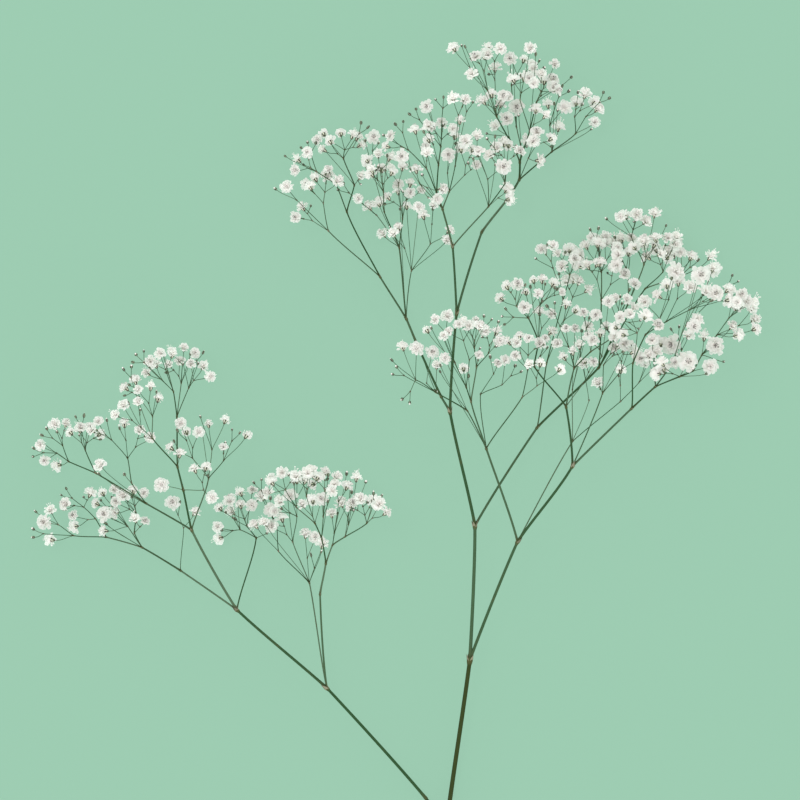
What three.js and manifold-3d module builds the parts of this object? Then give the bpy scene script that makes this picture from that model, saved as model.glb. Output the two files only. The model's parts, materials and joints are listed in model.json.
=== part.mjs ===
// Gypsophila: one cut stem with its sprays of small double flowers, lying on its side.
// Millimetres. X runs across the plant, Y along it from the cut end to the crown, Z up from the
// surface that it lies on. Every fork, flower cluster and bud of the layout below is given by its
// place across and along the plant; the height of each above the surface is found by a rule.
import * as THREE from 'three';
import { mergeVertices } from 'three/addons/utils/BufferGeometryUtils.js';
import Module from 'manifold-3d';

const wasm = await Module();
wasm.setup();

// ---- Driving dimensions ----
const STEM_DIAMETER = 3.0; // main stem at its cut end
const STALK_DIAMETER = 0.52; // stalk of a single flower
const STEM_SIDES = 6;
const STALK_SIDES = 3;
const JOINT_SWELLING = 1.15; // swollen joint over the stem's own radius
const SLIM_RATIO = 1.8; // a stalk slims at once where its joint is this much thicker
const SLIM_LENGTH = 1.6;
const SQUARE_ENOUGH = 0.62; // cosine between a stalk and the face of a joint
const ROLL_STEPS = 12;
const JOINT_LENGTH = 3.5; // the main stem swells over this to each of its joints
const STUB_LENGTH = 5.0; // foot of each spray on the main stem
const SPRAY_GAP = 0.3; // between that foot and the spray
const BRACT_LENGTH = 6.0;
const BRACT_WIDTH = 2.4;
const BRACT_THICKNESS = 0.7;
const BRACT_LEAN = 0.35;

const FLOWER_RADIUS = 3.3;
const FLOWER_RADIUS_SPREAD = 0.9;
const ROSETTE_RADIUS = 4.6; // wide open flower that faces up
const PETAL_TIPS = 5;
const PETAL_NOTCH = 0.6; // notch radius over tip radius
const PETAL_RUFFLE = 0.9; // notches stand this much above the tips
const FLOWER_CROWN = 2.8; // inner petals above the rim
const ROSETTE_CROWN = 1.9;
const CALYX_DEPTH = 3.1; // foot of the calyx below the rim
const CALYX_RADIUS = 0.85;
const BUD_LENGTH = 3.0;
const BUD_RADIUS = 1.15;
const BUD_SIDES = 4;

const SHORTEST_STALK = 7.0; // across and along the plant
const SHORTEST_CLUSTER = 12.5;
const CLUSTER_STALK = 10.5; // from a cluster's joint to its flowers
const BUD_STALK = 6.0;
const CLUSTER_ANGLE = 0.74; // between one stalk of a cluster and the next, in radians
const CLUSTER_SETBACK = 0.85; // from a cluster's middle to its joint, over the stalk
const CLUSTER_SHARE = 0.65; // most of a twig that a cluster's stalks may take

const STEEPEST = 0.85; // rise of a twig over its run
const DRAWS_PER_TWIG = 60;
const CLEAR_ENOUGH = 1.2;
const FREE_START = 3.0; // twigs of one joint may lie close to each other over this
const FLOWER_CLEARANCE = 4.2;
const ROSETTE_CLEARANCE = 4.8;
const BUD_CLEARANCE = 1.8;
const STALK_CLEARANCE = 0.3;
const SURFACE_HEIGHT = 0.7; // the plant's weight presses its lowest flowers flat on the surface
const LEAN_UP_STEM = 0.25; // how far a flower turns to the crown

const UP = new THREE.Vector3(0, 0, 1);
const ALONG = new THREE.Vector3(0, 1, 0);

// ---- Layout of the plant ----
const limb = (x, y, z, ...children) => ({ kind: 'limb', x, y, z, children });
const bend = (x, y, z, child) => ({ kind: 'bend', x, y, z, children: [child] });
const spray = (name, low, high, seed, shoot) => ({ kind: 'spray', name, low, high, seed, children: [shoot] });
const fork = (x, y, ...children) => ({ kind: 'fork', x, y, children });
const cyme = (x, y, count) => ({ kind: 'flower', x, y, count, children: [] });
const rosette = (x, y) => ({ kind: 'rosette', x, y, count: 1, children: [] });
const buds = (x, y, count) => ({ kind: 'bud', x, y, count, children: [] });

const leftLow = fork(-132, 137.5,
  fork(-130, 163, rosette(-136.5, 178.5), cyme(-123, 173, 1)),
  fork(-155, 151.5,
    fork(-176.5, 157.5,
      fork(-196, 158.5,
        fork(-205, 165, rosette(-214, 166.5), cyme(-210, 174, 1), buds(-219, 173, 1)),
        cyme(-210, 156, 1), buds(-219, 160, 2)),
      fork(-183, 168.5,
        cyme(-193.5, 167.5, 2),
        fork(-190, 175.5, cyme(-201, 177.5, 1), cyme(-186, 184, 1), buds(-201, 184, 2)))),
    fork(-163.5, 164, rosette(-178, 171.5), cyme(-178, 161.5, 1), cyme(-178, 183, 3)),
    fork(-159.5, 160,
      fork(-158.5, 172, cyme(-167, 177, 3), cyme(-160, 183, 3), buds(-168, 186, 1)),
      cyme(-153, 167.5, 1))));

const leftHigh = fork(-125, 162,
  fork(-152.5, 178,
    fork(-182.5, 196,
      fork(-199, 203,
        fork(-206, 208, cyme(-213.5, 203.5, 1), cyme(-216, 213, 1), buds(-219, 208.5, 2)),
        fork(-202.5, 212.5, cyme(-203.5, 222, 2), buds(-211, 219, 2)),
        cyme(-206, 201, 1)),
      fork(-189, 210, cyme(-194.5, 221.5, 2), cyme(-186.5, 221, 3), buds(-192, 229, 2))),
    fork(-161, 190,
      fork(-163.5, 205,
        fork(-173, 216, cyme(-182.5, 224, 2), buds(-176, 228, 1)),
        cyme(-165.5, 226, 1), cyme(-153.5, 219, 2)),
      buds(-165, 195, 1)),
    cyme(-180, 201, 1)),
  fork(-130, 186,
    fork(-133.5, 200,
      fork(-148.5, 217,
        fork(-155, 223, cyme(-167.5, 233.5, 2), cyme(-157, 239, 1)),
        fork(-148.5, 230, cyme(-161.5, 249, 2), cyme(-153, 246.5, 2), cyme(-145, 241, 1)),
        buds(-163, 258, 2)),
      fork(-134, 230,
        fork(-136, 245, cyme(-149, 258.5, 2), cyme(-143.5, 266.5, 3), buds(-157, 266, 3)),
        fork(-131.5, 250, cyme(-130, 270, 3), cyme(-134, 257.5, 2)),
        fork(-127, 247, cyme(-119, 259, 3), buds(-121, 268, 2))),
      cyme(-132, 208, 1)),
    fork(-118, 186, cyme(-119, 193, 2), cyme(-114.5, 183, 1)),
    rosette(-143, 189)),
  fork(-115, 193,
    fork(-124.5, 205, cyme(-131.5, 226, 1), cyme(-124.5, 220, 2), cyme(-138, 211.5, 1)),
    fork(-113, 210, cyme(-115, 226, 1), cyme(-105, 228, 1), buds(-120, 230, 1)),
    fork(-106, 203.5, cyme(-92, 219, 1), cyme(-106, 212, 1), buds(-99, 220, 2))));

const leftThin = fork(-86.5, 157,
  fork(-96, 162, cyme(-104.5, 161, 2), cyme(-105, 176.5, 2), buds(-98, 185, 1)),
  fork(-92, 164, cyme(-94.5, 172.5, 3), cyme(-89, 184.5, 3)),
  buds(-80, 160, 1));

const umbel = fork(-54.5, 130,
  fork(-73, 149,
    fork(-74, 163, rosette(-78, 174), cyme(-83, 182, 1), buds(-85, 190, 2)),
    cyme(-87, 165, 1)),
  fork(-64.5, 154.5,
    fork(-62, 170, cyme(-68.5, 173.5, 2), rosette(-66, 183), cyme(-62, 192, 1)),
    cyme(-73.5, 166, 2)),
  fork(-51.5, 139, cyme(-46.5, 153.5, 1), buds(-53.5, 147, 1)),
  cyme(-57, 159.5, 1));

const leftInner = fork(-48, 123.5,
  fork(-44.5, 142,
    fork(-47, 157,
      fork(-51, 166,
        fork(-62, 175.5, cyme(-73.5, 193.5, 4), buds(-64, 194, 2)),
        fork(-56, 182, cyme(-55.5, 195, 3)),
        cyme(-54, 174.5, 2)),
      fork(-46, 170, rosette(-47, 181), cyme(-45, 195.5, 3), cyme(-40.5, 185.5, 1))),
    fork(-40.5, 153,
      fork(-39.5, 160, cyme(-41, 172, 1), cyme(-35.5, 188, 2), buds(-32, 196, 1)),
      fork(-33, 158,
        fork(-20, 166, cyme(-12, 173.5, 2), cyme(-23, 179.5, 3), buds(-14, 182, 2)),
        fork(-31, 165, cyme(-31.5, 173, 2), cyme(-26, 193.5, 1), buds(-20.5, 191, 1))))));

const crownFar = fork(24.7, 242,
  fork(10, 274,
    fork(3.7, 289,
      fork(-12, 314,
        fork(-43, 341.5,
          fork(-62, 360, cyme(-68, 368, 1), buds(-75, 367, 1)),
          cyme(-60, 352.5, 2),
          fork(-46, 358, cyme(-56.5, 370, 1), cyme(-44, 373.5, 3))),
        fork(-32, 353,
          fork(-38.5, 369.5,
            fork(-50, 377, cyme(-59, 383, 3), buds(-69, 386.5, 1), buds(-55, 393, 3)),
            cyme(-43, 378.5, 1)),
          fork(-27.5, 369,
            fork(-34, 385, cyme(-46, 400, 1), cyme(-42, 391.5, 2), cyme(-32, 399, 4), buds(-22, 404, 2)),
            cyme(-25, 372.5, 1)))),
      fork(-0.5, 331.7,
        fork(-14, 351, cyme(-25, 361, 1), cyme(-18.5, 356, 1), buds(-34.5, 367.5, 2)),
        fork(-9.5, 353,
          fork(-10, 365, cyme(-10.5, 371.5, 3), cyme(-17, 378.5, 1), cyme(-13, 386, 3)),
          fork(-17, 381, rosette(-16, 398), buds(-21, 396, 1))),
        fork(1.5, 349, cyme(-1, 364.5, 3), cyme(6, 369, 3), cyme(-2, 379, 2)),
        cyme(-10.5, 340, 1)),
      fork(6.8, 317.5,
        fork(18.2, 333.6, cyme(20, 357, 1), cyme(30, 342, 1), cyme(14, 351, 1)),
        cyme(-1, 344, 1), cyme(4, 357, 1), cyme(11, 355.5, 1)))));

const crownLeft = fork(25.5, 354.6,
  fork(12, 369.5, rosette(1, 386), cyme(9.5, 378.5, 1), cyme(17, 367, 2)),
  fork(22, 364,
    fork(16, 378.5,
      fork(5, 390, cyme(-5, 394.5, 2), buds(-10, 399, 1), buds(0, 405, 2)),
      cyme(9, 402, 1), cyme(16, 388, 1)),
    fork(23, 381,
      cyme(17, 396.5, 1), cyme(17, 405, 1),
      fork(24.5, 392, rosette(16, 416), cyme(25.5, 403.5, 3), buds(26, 420, 3), buds(8.5, 412, 2)))),
  fork(29.5, 365,
    fork(28.5, 376, rosette(29, 387), cyme(33, 399, 1)),
    fork(33, 380, cyme(35.5, 419.5, 2), cyme(36, 408, 1), buds(41, 418, 2)),
    fork(38.8, 375, cyme(46, 381, 1), cyme(40, 389.5, 2))));

const crownMiddle = fork(53, 356,
  fork(52.6, 372.4, cyme(47, 389, 1), cyme(43, 396, 2), rosette(62, 380)),
  fork(63, 370, cyme(58, 391.5, 1), cyme(65, 391.5, 3), buds(55, 396, 2), buds(53, 390, 2)),
  cyme(64.5, 366.5, 1));

const crownRight = fork(49.2, 341,
  fork(64, 360,
    fork(71.7, 372.4,
      fork(72, 383,
        fork(68, 392,
          fork(58, 410,
            fork(52.6, 425.5,
              cyme(32, 452, 1), cyme(43, 435.5, 1), cyme(49, 446, 2), buds(39, 452, 1)),
            fork(57, 432, cyme(56.5, 452, 2), cyme(57, 439.5, 1)),
            cyme(55.5, 421, 3), cyme(60.5, 418, 1)),
          fork(65.5, 398, cyme(57, 404.5, 1), rosette(64, 409), buds(52, 400, 1))),
        fork(73, 390,
          fork(70, 404,
            fork(67, 429, rosette(66, 445), cyme(74, 443.5, 3), buds(84, 441, 2)),
            rosette(70, 416)),
          rosette(77, 396.5)),
        fork(77.8, 401.4,
          fork(72, 420, cyme(78, 451, 1), cyme(74, 431, 3)),
          fork(82, 419, cyme(88, 433.5, 4), cyme(85.5, 424, 2), cyme(93, 442, 1), buds(103, 434, 1)),
          cyme(83, 410, 2))),
      fork(77, 385,
        fork(81.6, 392.6, cyme(91, 397, 1), cyme(82, 401, 1)),
        cyme(83, 384, 1)),
      fork(91.2, 389.2,
        fork(90, 405, rosette(99, 416), cyme(89, 418, 1), buds(97, 427, 3)),
        fork(105.4, 399.9,
          fork(105, 410, cyme(106, 419, 1), cyme(113.5, 420.5, 2), buds(107, 425, 1)),
          fork(111.5, 410, buds(123, 422, 2), cyme(119, 415, 1)),
          cyme(117, 407, 1)),
        cyme(95.5, 404, 1)))));

const middle = fork(51.7, 211,
  fork(40.3, 233.6,
    fork(21.7, 244.4,
      fork(9.4, 252, cyme(1.5, 272, 1), rosette(10, 271), buds(-5, 264, 1), buds(8, 249, 2)),
      fork(16, 250, rosette(19.5, 269), buds(18.5, 248, 1)),
      cyme(22, 261, 1), buds(-2, 257, 2)),
    rosette(27, 265)),
  fork(42.5, 239,
    fork(39.7, 247.5,
      fork(33, 262, cyme(16, 282, 1), cyme(25, 288.5, 2), cyme(26, 278.5, 1)),
      fork(41.5, 264, cyme(35.5, 284, 3), buds(48, 271, 1)),
      cyme(38, 259, 1)),
    fork(45.8, 259.7,
      fork(44.5, 271, cyme(42, 286.5, 2), cyme(44.5, 278, 2), buds(52, 288, 2)),
      cyme(47.5, 267, 1),
      fork(53, 268, cyme(54.5, 280.5, 2), rosette(60, 275.5), buds(59, 287, 1)))),
  fork(48.2, 243.4,
    fork(56, 255.5, cyme(58, 260.5, 1), buds(54, 266, 1)),
    fork(61, 249, cyme(63, 264, 1), buds(69, 257, 2))),
  fork(73.1, 241.6,
    fork(76.5, 258, cyme(69, 266.5, 1), cyme(68.5, 276, 2), cyme(77, 275.5, 3)),
    fork(82, 248.5, cyme(81.5, 254, 2), cyme(96, 258.5, 1))));

const domeLeft = fork(99.6, 236,
  fork(80.5, 260,
    fork(83, 275,
      fork(77, 289,
        fork(70, 296, cyme(60, 301, 1), cyme(67.5, 308, 2), buds(75, 309, 1)),
        cyme(79, 303.5, 2), rosette(75.5, 293), buds(63, 290, 3)),
      fork(84, 297, cyme(80, 312, 1), cyme(88.5, 310.5, 2), cyme(94, 307, 2)),
      cyme(87, 291.5, 2), cyme(91, 281, 1)),
    fork(84, 266, cyme(87, 277, 1), buds(86, 268.5, 1))),
  fork(104.4, 259,
    fork(101, 272,
      fork(96, 284, cyme(99.5, 290, 2), buds(91, 296, 2)),
      cyme(99.5, 283, 1), cyme(96, 273.5, 1)),
    fork(114.3, 269,
      fork(127, 277.5,
        fork(130, 288, cyme(126, 299.5, 1), cyme(135, 298.5, 3), buds(140, 286, 2)),
        cyme(123.5, 284.5, 1), rosette(117.5, 291)),
      cyme(110, 292.5, 1), cyme(115, 273, 1)),
    cyme(103.5, 269.5, 1), cyme(98, 266, 1)),
  fork(110, 250, cyme(116, 263, 1), fork(121, 266, cyme(117, 278, 2), rosette(125, 299))));

const domeInner = fork(121.4, 244,
  cyme(119, 249.5, 1),
  fork(122, 261, cyme(131, 275, 2), buds(127, 266, 2)),
  fork(133, 258.5, cyme(132.5, 266, 2), cyme(138, 273, 1), rosette(144, 265)));

const domeThin = fork(103.5, 215,
  fork(113.4, 239.6, cyme(107.5, 273, 1), cyme(110, 262, 1)),
  fork(132.3, 239,
    fork(143.5, 250.5, cyme(147, 262, 1), cyme(151, 268, 1), buds(157, 265, 1)),
    cyme(132.5, 258, 1)),
  fork(103.5, 246, cyme(105, 283, 1), cyme(113, 284, 1), buds(113, 288, 2)));

const domeRight = fork(139, 235,
  fork(139.5, 262,
    fork(147, 279,
      fork(155.5, 288.6,
        fork(161, 300, rosette(165, 317), cyme(156, 302, 1), cyme(160, 309, 1)),
        cyme(147, 299, 1)),
      fork(159.5, 287,
        fork(173.4, 294, rosette(189, 304), cyme(183, 305, 1), cyme(197, 306, 1), buds(205, 306, 1)),
        cyme(170, 308.5, 2)),
      cyme(154.5, 285, 1)),
    fork(142, 280, cyme(147, 290.5, 1), cyme(133, 285, 2))),
  fork(153.2, 248,
    fork(152, 262, cyme(151, 276, 1), cyme(157, 274, 1), cyme(153, 267.5, 1)),
    fork(163, 261.5,
      fork(170.9, 284.3, rosette(180, 315), cyme(187.5, 317.5, 1), cyme(178, 288, 1), buds(200, 312, 2)),
      fork(169, 270, rosette(166, 271.5), cyme(173, 279, 1), buds(166, 280, 2)),
      cyme(165, 263, 1)),
    fork(167.6, 254,
      rosette(172.5, 263),
      fork(175.6, 257.4,
        rosette(186, 260),
        fork(181, 267,
          rosette(189, 272.5), cyme(182.5, 278, 1), buds(194, 263, 1),
          fork(190, 279,
            fork(197, 289, cyme(198.5, 298, 1), cyme(207, 300, 2), buds(211, 300, 1)),
            fork(203, 284.5, cyme(215, 288.5, 1), cyme(211, 295, 1)),
            cyme(202.5, 279, 1)))),
      cyme(160.5, 257, 2))));

const domeBack = fork(82.5, 223.5,
  fork(88, 262,
    fork(98, 300,
      fork(92, 319, cyme(89, 329.5, 2), buds(81.5, 325, 1)),
      fork(102, 315, cyme(98, 319.5, 1), cyme(98.5, 328.5, 2), cyme(105, 325, 1))),
    cyme(107, 310, 3)),
  fork(119.5, 259.5,
    fork(121, 300,
      fork(121, 317, cyme(112.5, 331.5, 3), cyme(119.5, 336.5, 2), cyme(126.5, 332, 2), buds(117, 341.5, 2)),
      cyme(116.5, 321, 2), cyme(131, 317, 2)),
    fork(137, 298,
      fork(137, 315, cyme(135, 324, 2), cyme(139, 335.5, 3), buds(129, 338, 1)),
      fork(146.5, 321.4,
        fork(139, 338, cyme(132.5, 350, 1), cyme(141.5, 348.5, 3), buds(124, 349, 1)),
        cyme(153, 352, 1), cyme(149, 331.5, 4), buds(160, 345, 1)),
      cyme(141, 310, 1)),
    fork(147.4, 307,
      fork(158, 317, cyme(156.5, 322, 3), cyme(157, 336.5, 2), cyme(166, 338, 1)),
      fork(168, 314, cyme(164.5, 328, 1), cyme(172, 326.5, 2), cyme(187.5, 322.5, 2), buds(178, 323, 3)))));

const CUT_END = { x: 26.5, y: -55, z: 2.1 };
const plant = limb(28, -15.6, 5,
  bend(16, 0, 8,
    limb(-44, 67, 19,
      spray('spray_left_inner', 36, 84, 10, leftInner),
      spray('spray_umbel', 3.4, 40, 4, umbel),
      limb(-98, 114, 26,
        spray('spray_left_thin', 3.4, 40, 4, leftThin),
        spray('spray_left_low', 3.4, 48, 4, leftLow),
        spray('spray_left_high', 8, 80, 1, leftHigh)))),
  limb(42, 84, 22,
    limb(45, 164.5, 33,
      spray('spray_dome_back', 3.4, 44, 5, domeBack),
      limb(30, 233, 40,
        spray('spray_crown_far', 3.4, 54, 16, crownFar),
        limb(34, 292, 44,
          spray('spray_crown_right', 3.4, 80, 6, crownRight),
          limb(31.6, 332, 47,
            spray('spray_crown_left', 30, 88, 10, crownLeft),
            spray('spray_crown_middle', 40, 88, 10, crownMiddle))))),
    limb(70.6, 155, 35,
      spray('spray_middle', 56, 104, 8, middle),
      spray('spray_dome_thin', 20, 50, 1, domeThin),
      limb(103.5, 200.3, 47,
        spray('spray_dome_left', 46, 84, 26, domeLeft),
        spray('spray_dome_inner', 40, 76, 26, domeInner),
        spray('spray_dome_right', 50, 104, 1, domeRight)))));

// ---- Heights ----
// A repeatable series of numbers between 0 and 1.
class Draws {
  constructor(seed) {
    this.state = seed;
  }

  next() {
    this.state = (this.state * 16807) % 2147483647;
    return this.state / 2147483647;
  }
}

let draws; // of the spray that is growing
const grown = []; // the twigs and tips that have their place already

function twigPiece(joint, end, diameter) {
  const share = Math.min(0.5, FREE_START / joint.distanceTo(end));
  return { joint, start: joint, free: joint.clone().lerp(end, share), end, radius: 0.5 * diameter };
}

function tipPiece(place, radius) {
  return { joint: null, start: place, free: place, end: place, radius };
}

const limited = (value) => Math.min(Math.max(value, 0), 1);

// The distance between two straight lines, each from a start to an end.
function lineDistance(start, end, otherStart, otherEnd) {
  const line = end.clone().sub(start);
  const otherLine = otherEnd.clone().sub(otherStart);
  const apart = start.clone().sub(otherStart);
  const tiny = 1e-9;
  const length = Math.max(line.dot(line), tiny);
  const otherLength = Math.max(otherLine.dot(otherLine), tiny);
  const across = line.dot(otherLine);
  const back = line.dot(apart);
  const ahead = otherLine.dot(apart);
  const spread = Math.max(length * otherLength - across * across, tiny);
  const first = limited((across * ahead - back * otherLength) / spread);
  const second = limited((across * first + ahead) / otherLength);
  const share = limited((across * second - back) / length);
  return apart.addScaledVector(line, share).addScaledVector(otherLine, -second).length();
}

// The gap between two pieces. Near a joint that both share, they may lie close.
function gapBetween(piece, other) {
  const sisters = piece.joint !== null && piece.joint === other.joint;
  const onward = piece.joint !== null && piece.joint === other.end;
  const start = sisters || onward ? piece.free : piece.start;
  const otherStart = sisters ? other.free : other.start;
  const distance = lineDistance(start, piece.end, otherStart, other.end);
  return distance - piece.radius - other.radius;
}

function narrowestGap(pieces) {
  let narrowest = CLEAR_ENOUGH;
  for (const piece of pieces) {
    for (const other of grown) narrowest = Math.min(narrowest, gapBetween(piece, other));
  }
  return narrowest;
}

const TIP_CLEARANCES = {
  flower: FLOWER_CLEARANCE,
  rosette: ROSETTE_CLEARANCE,
  bud: BUD_CLEARANCE,
  fork: STALK_CLEARANCE,
};

// The twig that ends in a node, and the tip that the node stands for.
function piecesOf(node, parent, place) {
  return [twigPiece(parent.point, place, node.diameter), tipPiece(place, TIP_CLEARANCES[node.kind])];
}

// A place for a node: of several draws for its height, the one that keeps it clear of what has grown.
function choosePlace(node, parent, band) {
  const reach = STEEPEST * Math.hypot(node.x - parent.x, node.y - parent.y);
  const isFork = node.kind === 'fork';
  const middleHeight = 0.5 * (band.low + band.high);
  const spread = (isFork ? 0.7 : 1.2) * (band.high - band.low);
  let best = { gap: -Infinity };
  for (let draw = 0; draw < DRAWS_PER_TWIG && best.gap < CLEAR_ENOUGH; draw += 1) {
    const share = draws.next();
    let height = middleHeight + spread * (share - 0.5);
    if (node.kind === 'rosette') height = band.high - 0.4 * share * (band.high - band.low);
    height = Math.min(Math.max(height, band.low), band.high);
    height = Math.min(Math.max(height, parent.point.z - reach), parent.point.z + reach);
    height = Math.max(height, band.low);
    const place = new THREE.Vector3(node.x, node.y, height);
    const gap = narrowestGap(piecesOf(node, parent, place));
    if (gap > best.gap) best = { gap, place };
  }
  return best.place;
}

// Puts a flower, bud or cluster that stands very close to its joint a little further out.
function keepApart(node, parent) {
  const run = Math.hypot(node.x - parent.x, node.y - parent.y);
  const shortest = node.count > 1 ? SHORTEST_CLUSTER : SHORTEST_STALK;
  if (!node.count || run >= shortest) return;
  node.x = parent.x + ((node.x - parent.x) * shortest) / run;
  node.y = parent.y + ((node.y - parent.y) * shortest) / run;
}

// The flowers or buds of a cluster fan out on stalks from one joint.
function openCluster(node, parent) {
  if (!node.count || node.count === 1) return node;
  const heading = Math.atan2(node.y - parent.y, node.x - parent.x);
  const run = Math.hypot(node.x - parent.x, node.y - parent.y);
  const longest = (CLUSTER_SHARE * run) / CLUSTER_SETBACK;
  const stalk = Math.min(node.kind === 'bud' ? BUD_STALK : CLUSTER_STALK, longest);
  const joint = {
    x: node.x - CLUSTER_SETBACK * stalk * Math.cos(heading),
    y: node.y - CLUSTER_SETBACK * stalk * Math.sin(heading),
  };
  const tips = [];
  for (let index = 0; index < node.count; index += 1) {
    const turn = heading + CLUSTER_ANGLE * (index - 0.5 * (node.count - 1));
    const x = joint.x + stalk * Math.cos(turn);
    const y = joint.y + stalk * Math.sin(turn);
    tips.push({ kind: node.kind, x, y, count: 1, children: [] });
  }
  return fork(joint.x, joint.y, ...tips);
}

// Opens the clusters and counts what each twig carries.
function prepare(node, parent) {
  keepApart(node, parent);
  const opened = openCluster(node, parent);
  const here = node.kind === 'spray' ? parent : opened;
  opened.children = opened.children.map((child) => prepare(child, here));
  opened.load = opened.children.reduce((sum, child) => sum + child.load, opened.children.length ? 0 : 1);
  return opened;
}

// Stems keep their cross-section through every fork: the area of a stem grows with its load.
function stemDiameter(load, total) {
  const stemArea = STEM_DIAMETER ** 2 - STALK_DIAMETER ** 2;
  return Math.sqrt(STALK_DIAMETER ** 2 + (stemArea * (load - 1)) / (total - 1));
}

function setDiameters(node, total) {
  node.diameter = stemDiameter(node.load, total);
  node.children.forEach((child) => setDiameters(child, total));
}

function settle(node, parent, band) {
  node.point = choosePlace(node, parent, band);
  grown.push(...piecesOf(node, parent, node.point));
  if (node.kind === 'flower') node.radius = FLOWER_RADIUS + FLOWER_RADIUS_SPREAD * draws.next();
  if (node.kind === 'rosette') node.radius = ROSETTE_RADIUS;
  node.children.forEach((child) => settle(child, node, band));
}

function settleLimbs(node, parent) {
  node.point = new THREE.Vector3(node.x, node.y, node.z);
  grown.push(twigPiece(parent.point, node.point, node.diameter));
  for (const child of node.children) {
    if (child.kind !== 'spray') settleLimbs(child, node);
  }
}

function settleSprays(node) {
  for (const child of node.children) {
    if (child.kind === 'spray') {
      draws = new Draws(child.seed);
      settle(child.children[0], node, child);
    } else {
      settleSprays(child);
    }
  }
}

// ---- Skins ----
// A closed surface that grows ring by ring. Rings run anticlockwise about their own direction.
class Skin {
  constructor() {
    this.corners = [];
    this.faces = [];
  }

  addRing(points) {
    const first = this.corners.length;
    this.corners.push(...points);
    return points.map((_, index) => first + index);
  }

  addFace(ring) {
    for (let index = 1; index + 1 < ring.length; index += 1) {
      this.faces.push(ring[0], ring[index], ring[index + 1]);
    }
  }

  span(corner, other) {
    return this.corners[corner].distanceTo(this.corners[other]);
  }

  // Triangles between two rings, which may differ in number; a ring of one corner makes a tip.
  addTube(lower, upper) {
    const lowerSteps = lower.length === 1 ? 0 : lower.length;
    const upperSteps = upper.length === 1 ? 0 : upper.length;
    let low = 0;
    let high = 0;
    while (low < lowerSteps || high < upperSteps) {
      const here = [lower[low % lower.length], upper[high % upper.length]];
      const next = [lower[(low + 1) % lower.length], upper[(high + 1) % upper.length]];
      const lead = (low + 1) / lower.length - (high + 1) / upper.length;
      const shorter = this.span(next[0], here[1]) <= this.span(here[0], next[1]);
      const stepLow = lead < 0 || (lead === 0 && shorter);
      if (high >= upperSteps || (low < lowerSteps && stepLow)) {
        this.faces.push(here[0], next[0], here[1]);
        low += 1;
      } else {
        this.faces.push(here[0], next[1], here[1]);
        high += 1;
      }
    }
  }

  centre(ring) {
    const sum = ring.reduce((total, index) => total.add(this.corners[index]), new THREE.Vector3());
    return sum.divideScalar(ring.length);
  }

  geometry() {
    return new THREE.BufferGeometry().setFromPoints(this.corners).setIndex(this.faces);
  }
}

// A closed skin through rings of points, with a flat end at the first ring and at the last.
function closedSkin(rings) {
  const skin = new Skin();
  const loops = rings.map((points) => skin.addRing(points));
  skin.addFace([...loops[0]].reverse());
  for (let index = 0; index + 1 < loops.length; index += 1) skin.addTube(loops[index], loops[index + 1]);
  skin.addFace(loops[loops.length - 1]);
  return skin.geometry();
}

// A frame for rings: `axis` is their normal, and `side` stays as near the last one as it can.
function frameAlong(axis, side) {
  const normal = axis.clone().normalize();
  const across = side.clone().addScaledVector(normal, -side.dot(normal)).normalize();
  return { normal, across, third: new THREE.Vector3().crossVectors(normal, across) };
}

function sideOf(axis) {
  return Math.abs(axis.z) < 0.8 * axis.length() ? UP : ALONG;
}

// A ring of corners round `centre`; `reach(index)` gives a corner's radius and its rise.
function ring(centre, frame, count, reach) {
  const points = [];
  for (let index = 0; index < count; index += 1) {
    const turn = (2 * Math.PI * index) / count;
    const [radius, rise] = reach(index);
    points.push(centre.clone()
      .addScaledVector(frame.across, radius * Math.cos(turn))
      .addScaledVector(frame.third, radius * Math.sin(turn))
      .addScaledVector(frame.normal, rise));
  }
  return points;
}

// The radius of a polygon that has a round stem's cross-section.
function cornerRadius(diameter, sides) {
  return 0.5 * diameter * Math.sqrt((2 * Math.PI) / (sides * Math.sin((2 * Math.PI) / sides)));
}

function plainRing(centre, frame, sides, radius) {
  return ring(centre, frame, sides, () => [radius, 0]);
}

// Calyx, rim of ruffled petals and crown of a flower.
function flowerRings(tip, frame) {
  const foot = tip.point.clone().addScaledVector(frame.normal, -CALYX_DEPTH);
  const petals = (index) => (index % 2 === 0 ? [tip.radius, 0] : [PETAL_NOTCH * tip.radius, PETAL_RUFFLE]);
  const crown = tip.kind === 'rosette' ? ROSETTE_CROWN : FLOWER_CROWN;
  return [
    plainRing(foot, frame, STALK_SIDES, CALYX_RADIUS),
    ring(tip.point, frame, 2 * PETAL_TIPS, petals),
    [tip.point.clone().addScaledVector(frame.normal, crown)],
  ];
}

function budRings(tip, frame) {
  const foot = tip.point.clone().addScaledVector(frame.normal, -0.5 * BUD_LENGTH);
  return [
    plainRing(foot, frame, STALK_SIDES, 0.5 * BUD_RADIUS),
    plainRing(tip.point, frame, BUD_SIDES, BUD_RADIUS),
    [tip.point.clone().addScaledVector(frame.normal, 0.5 * BUD_LENGTH)],
  ];
}

// Where a flower or bud faces: on along its stalk, a little to the crown; a rosette faces up.
function facing(tip, before) {
  const along = tip.point.clone().sub(before.point).normalize();
  if (tip.kind === 'rosette') return along.multiplyScalar(0.3).add(UP).normalize();
  return along.addScaledVector(ALONG, LEAN_UP_STEM).normalize();
}

// ---- Branched skins ----
// One skin runs over the main stem, and one over each spray. Each fork is an eight-faced knuckle:
// the stem from behind ends on its back face, and each shoot leaves from the face that looks its way.
const FACES_AHEAD = [[3, 4, 5], ...[0, 1, 2].flatMap((index) => [
  [index, 3 + index, 3 + ((index + 2) % 3)],
  [index, (index + 1) % 3, 3 + index],
])];

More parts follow.
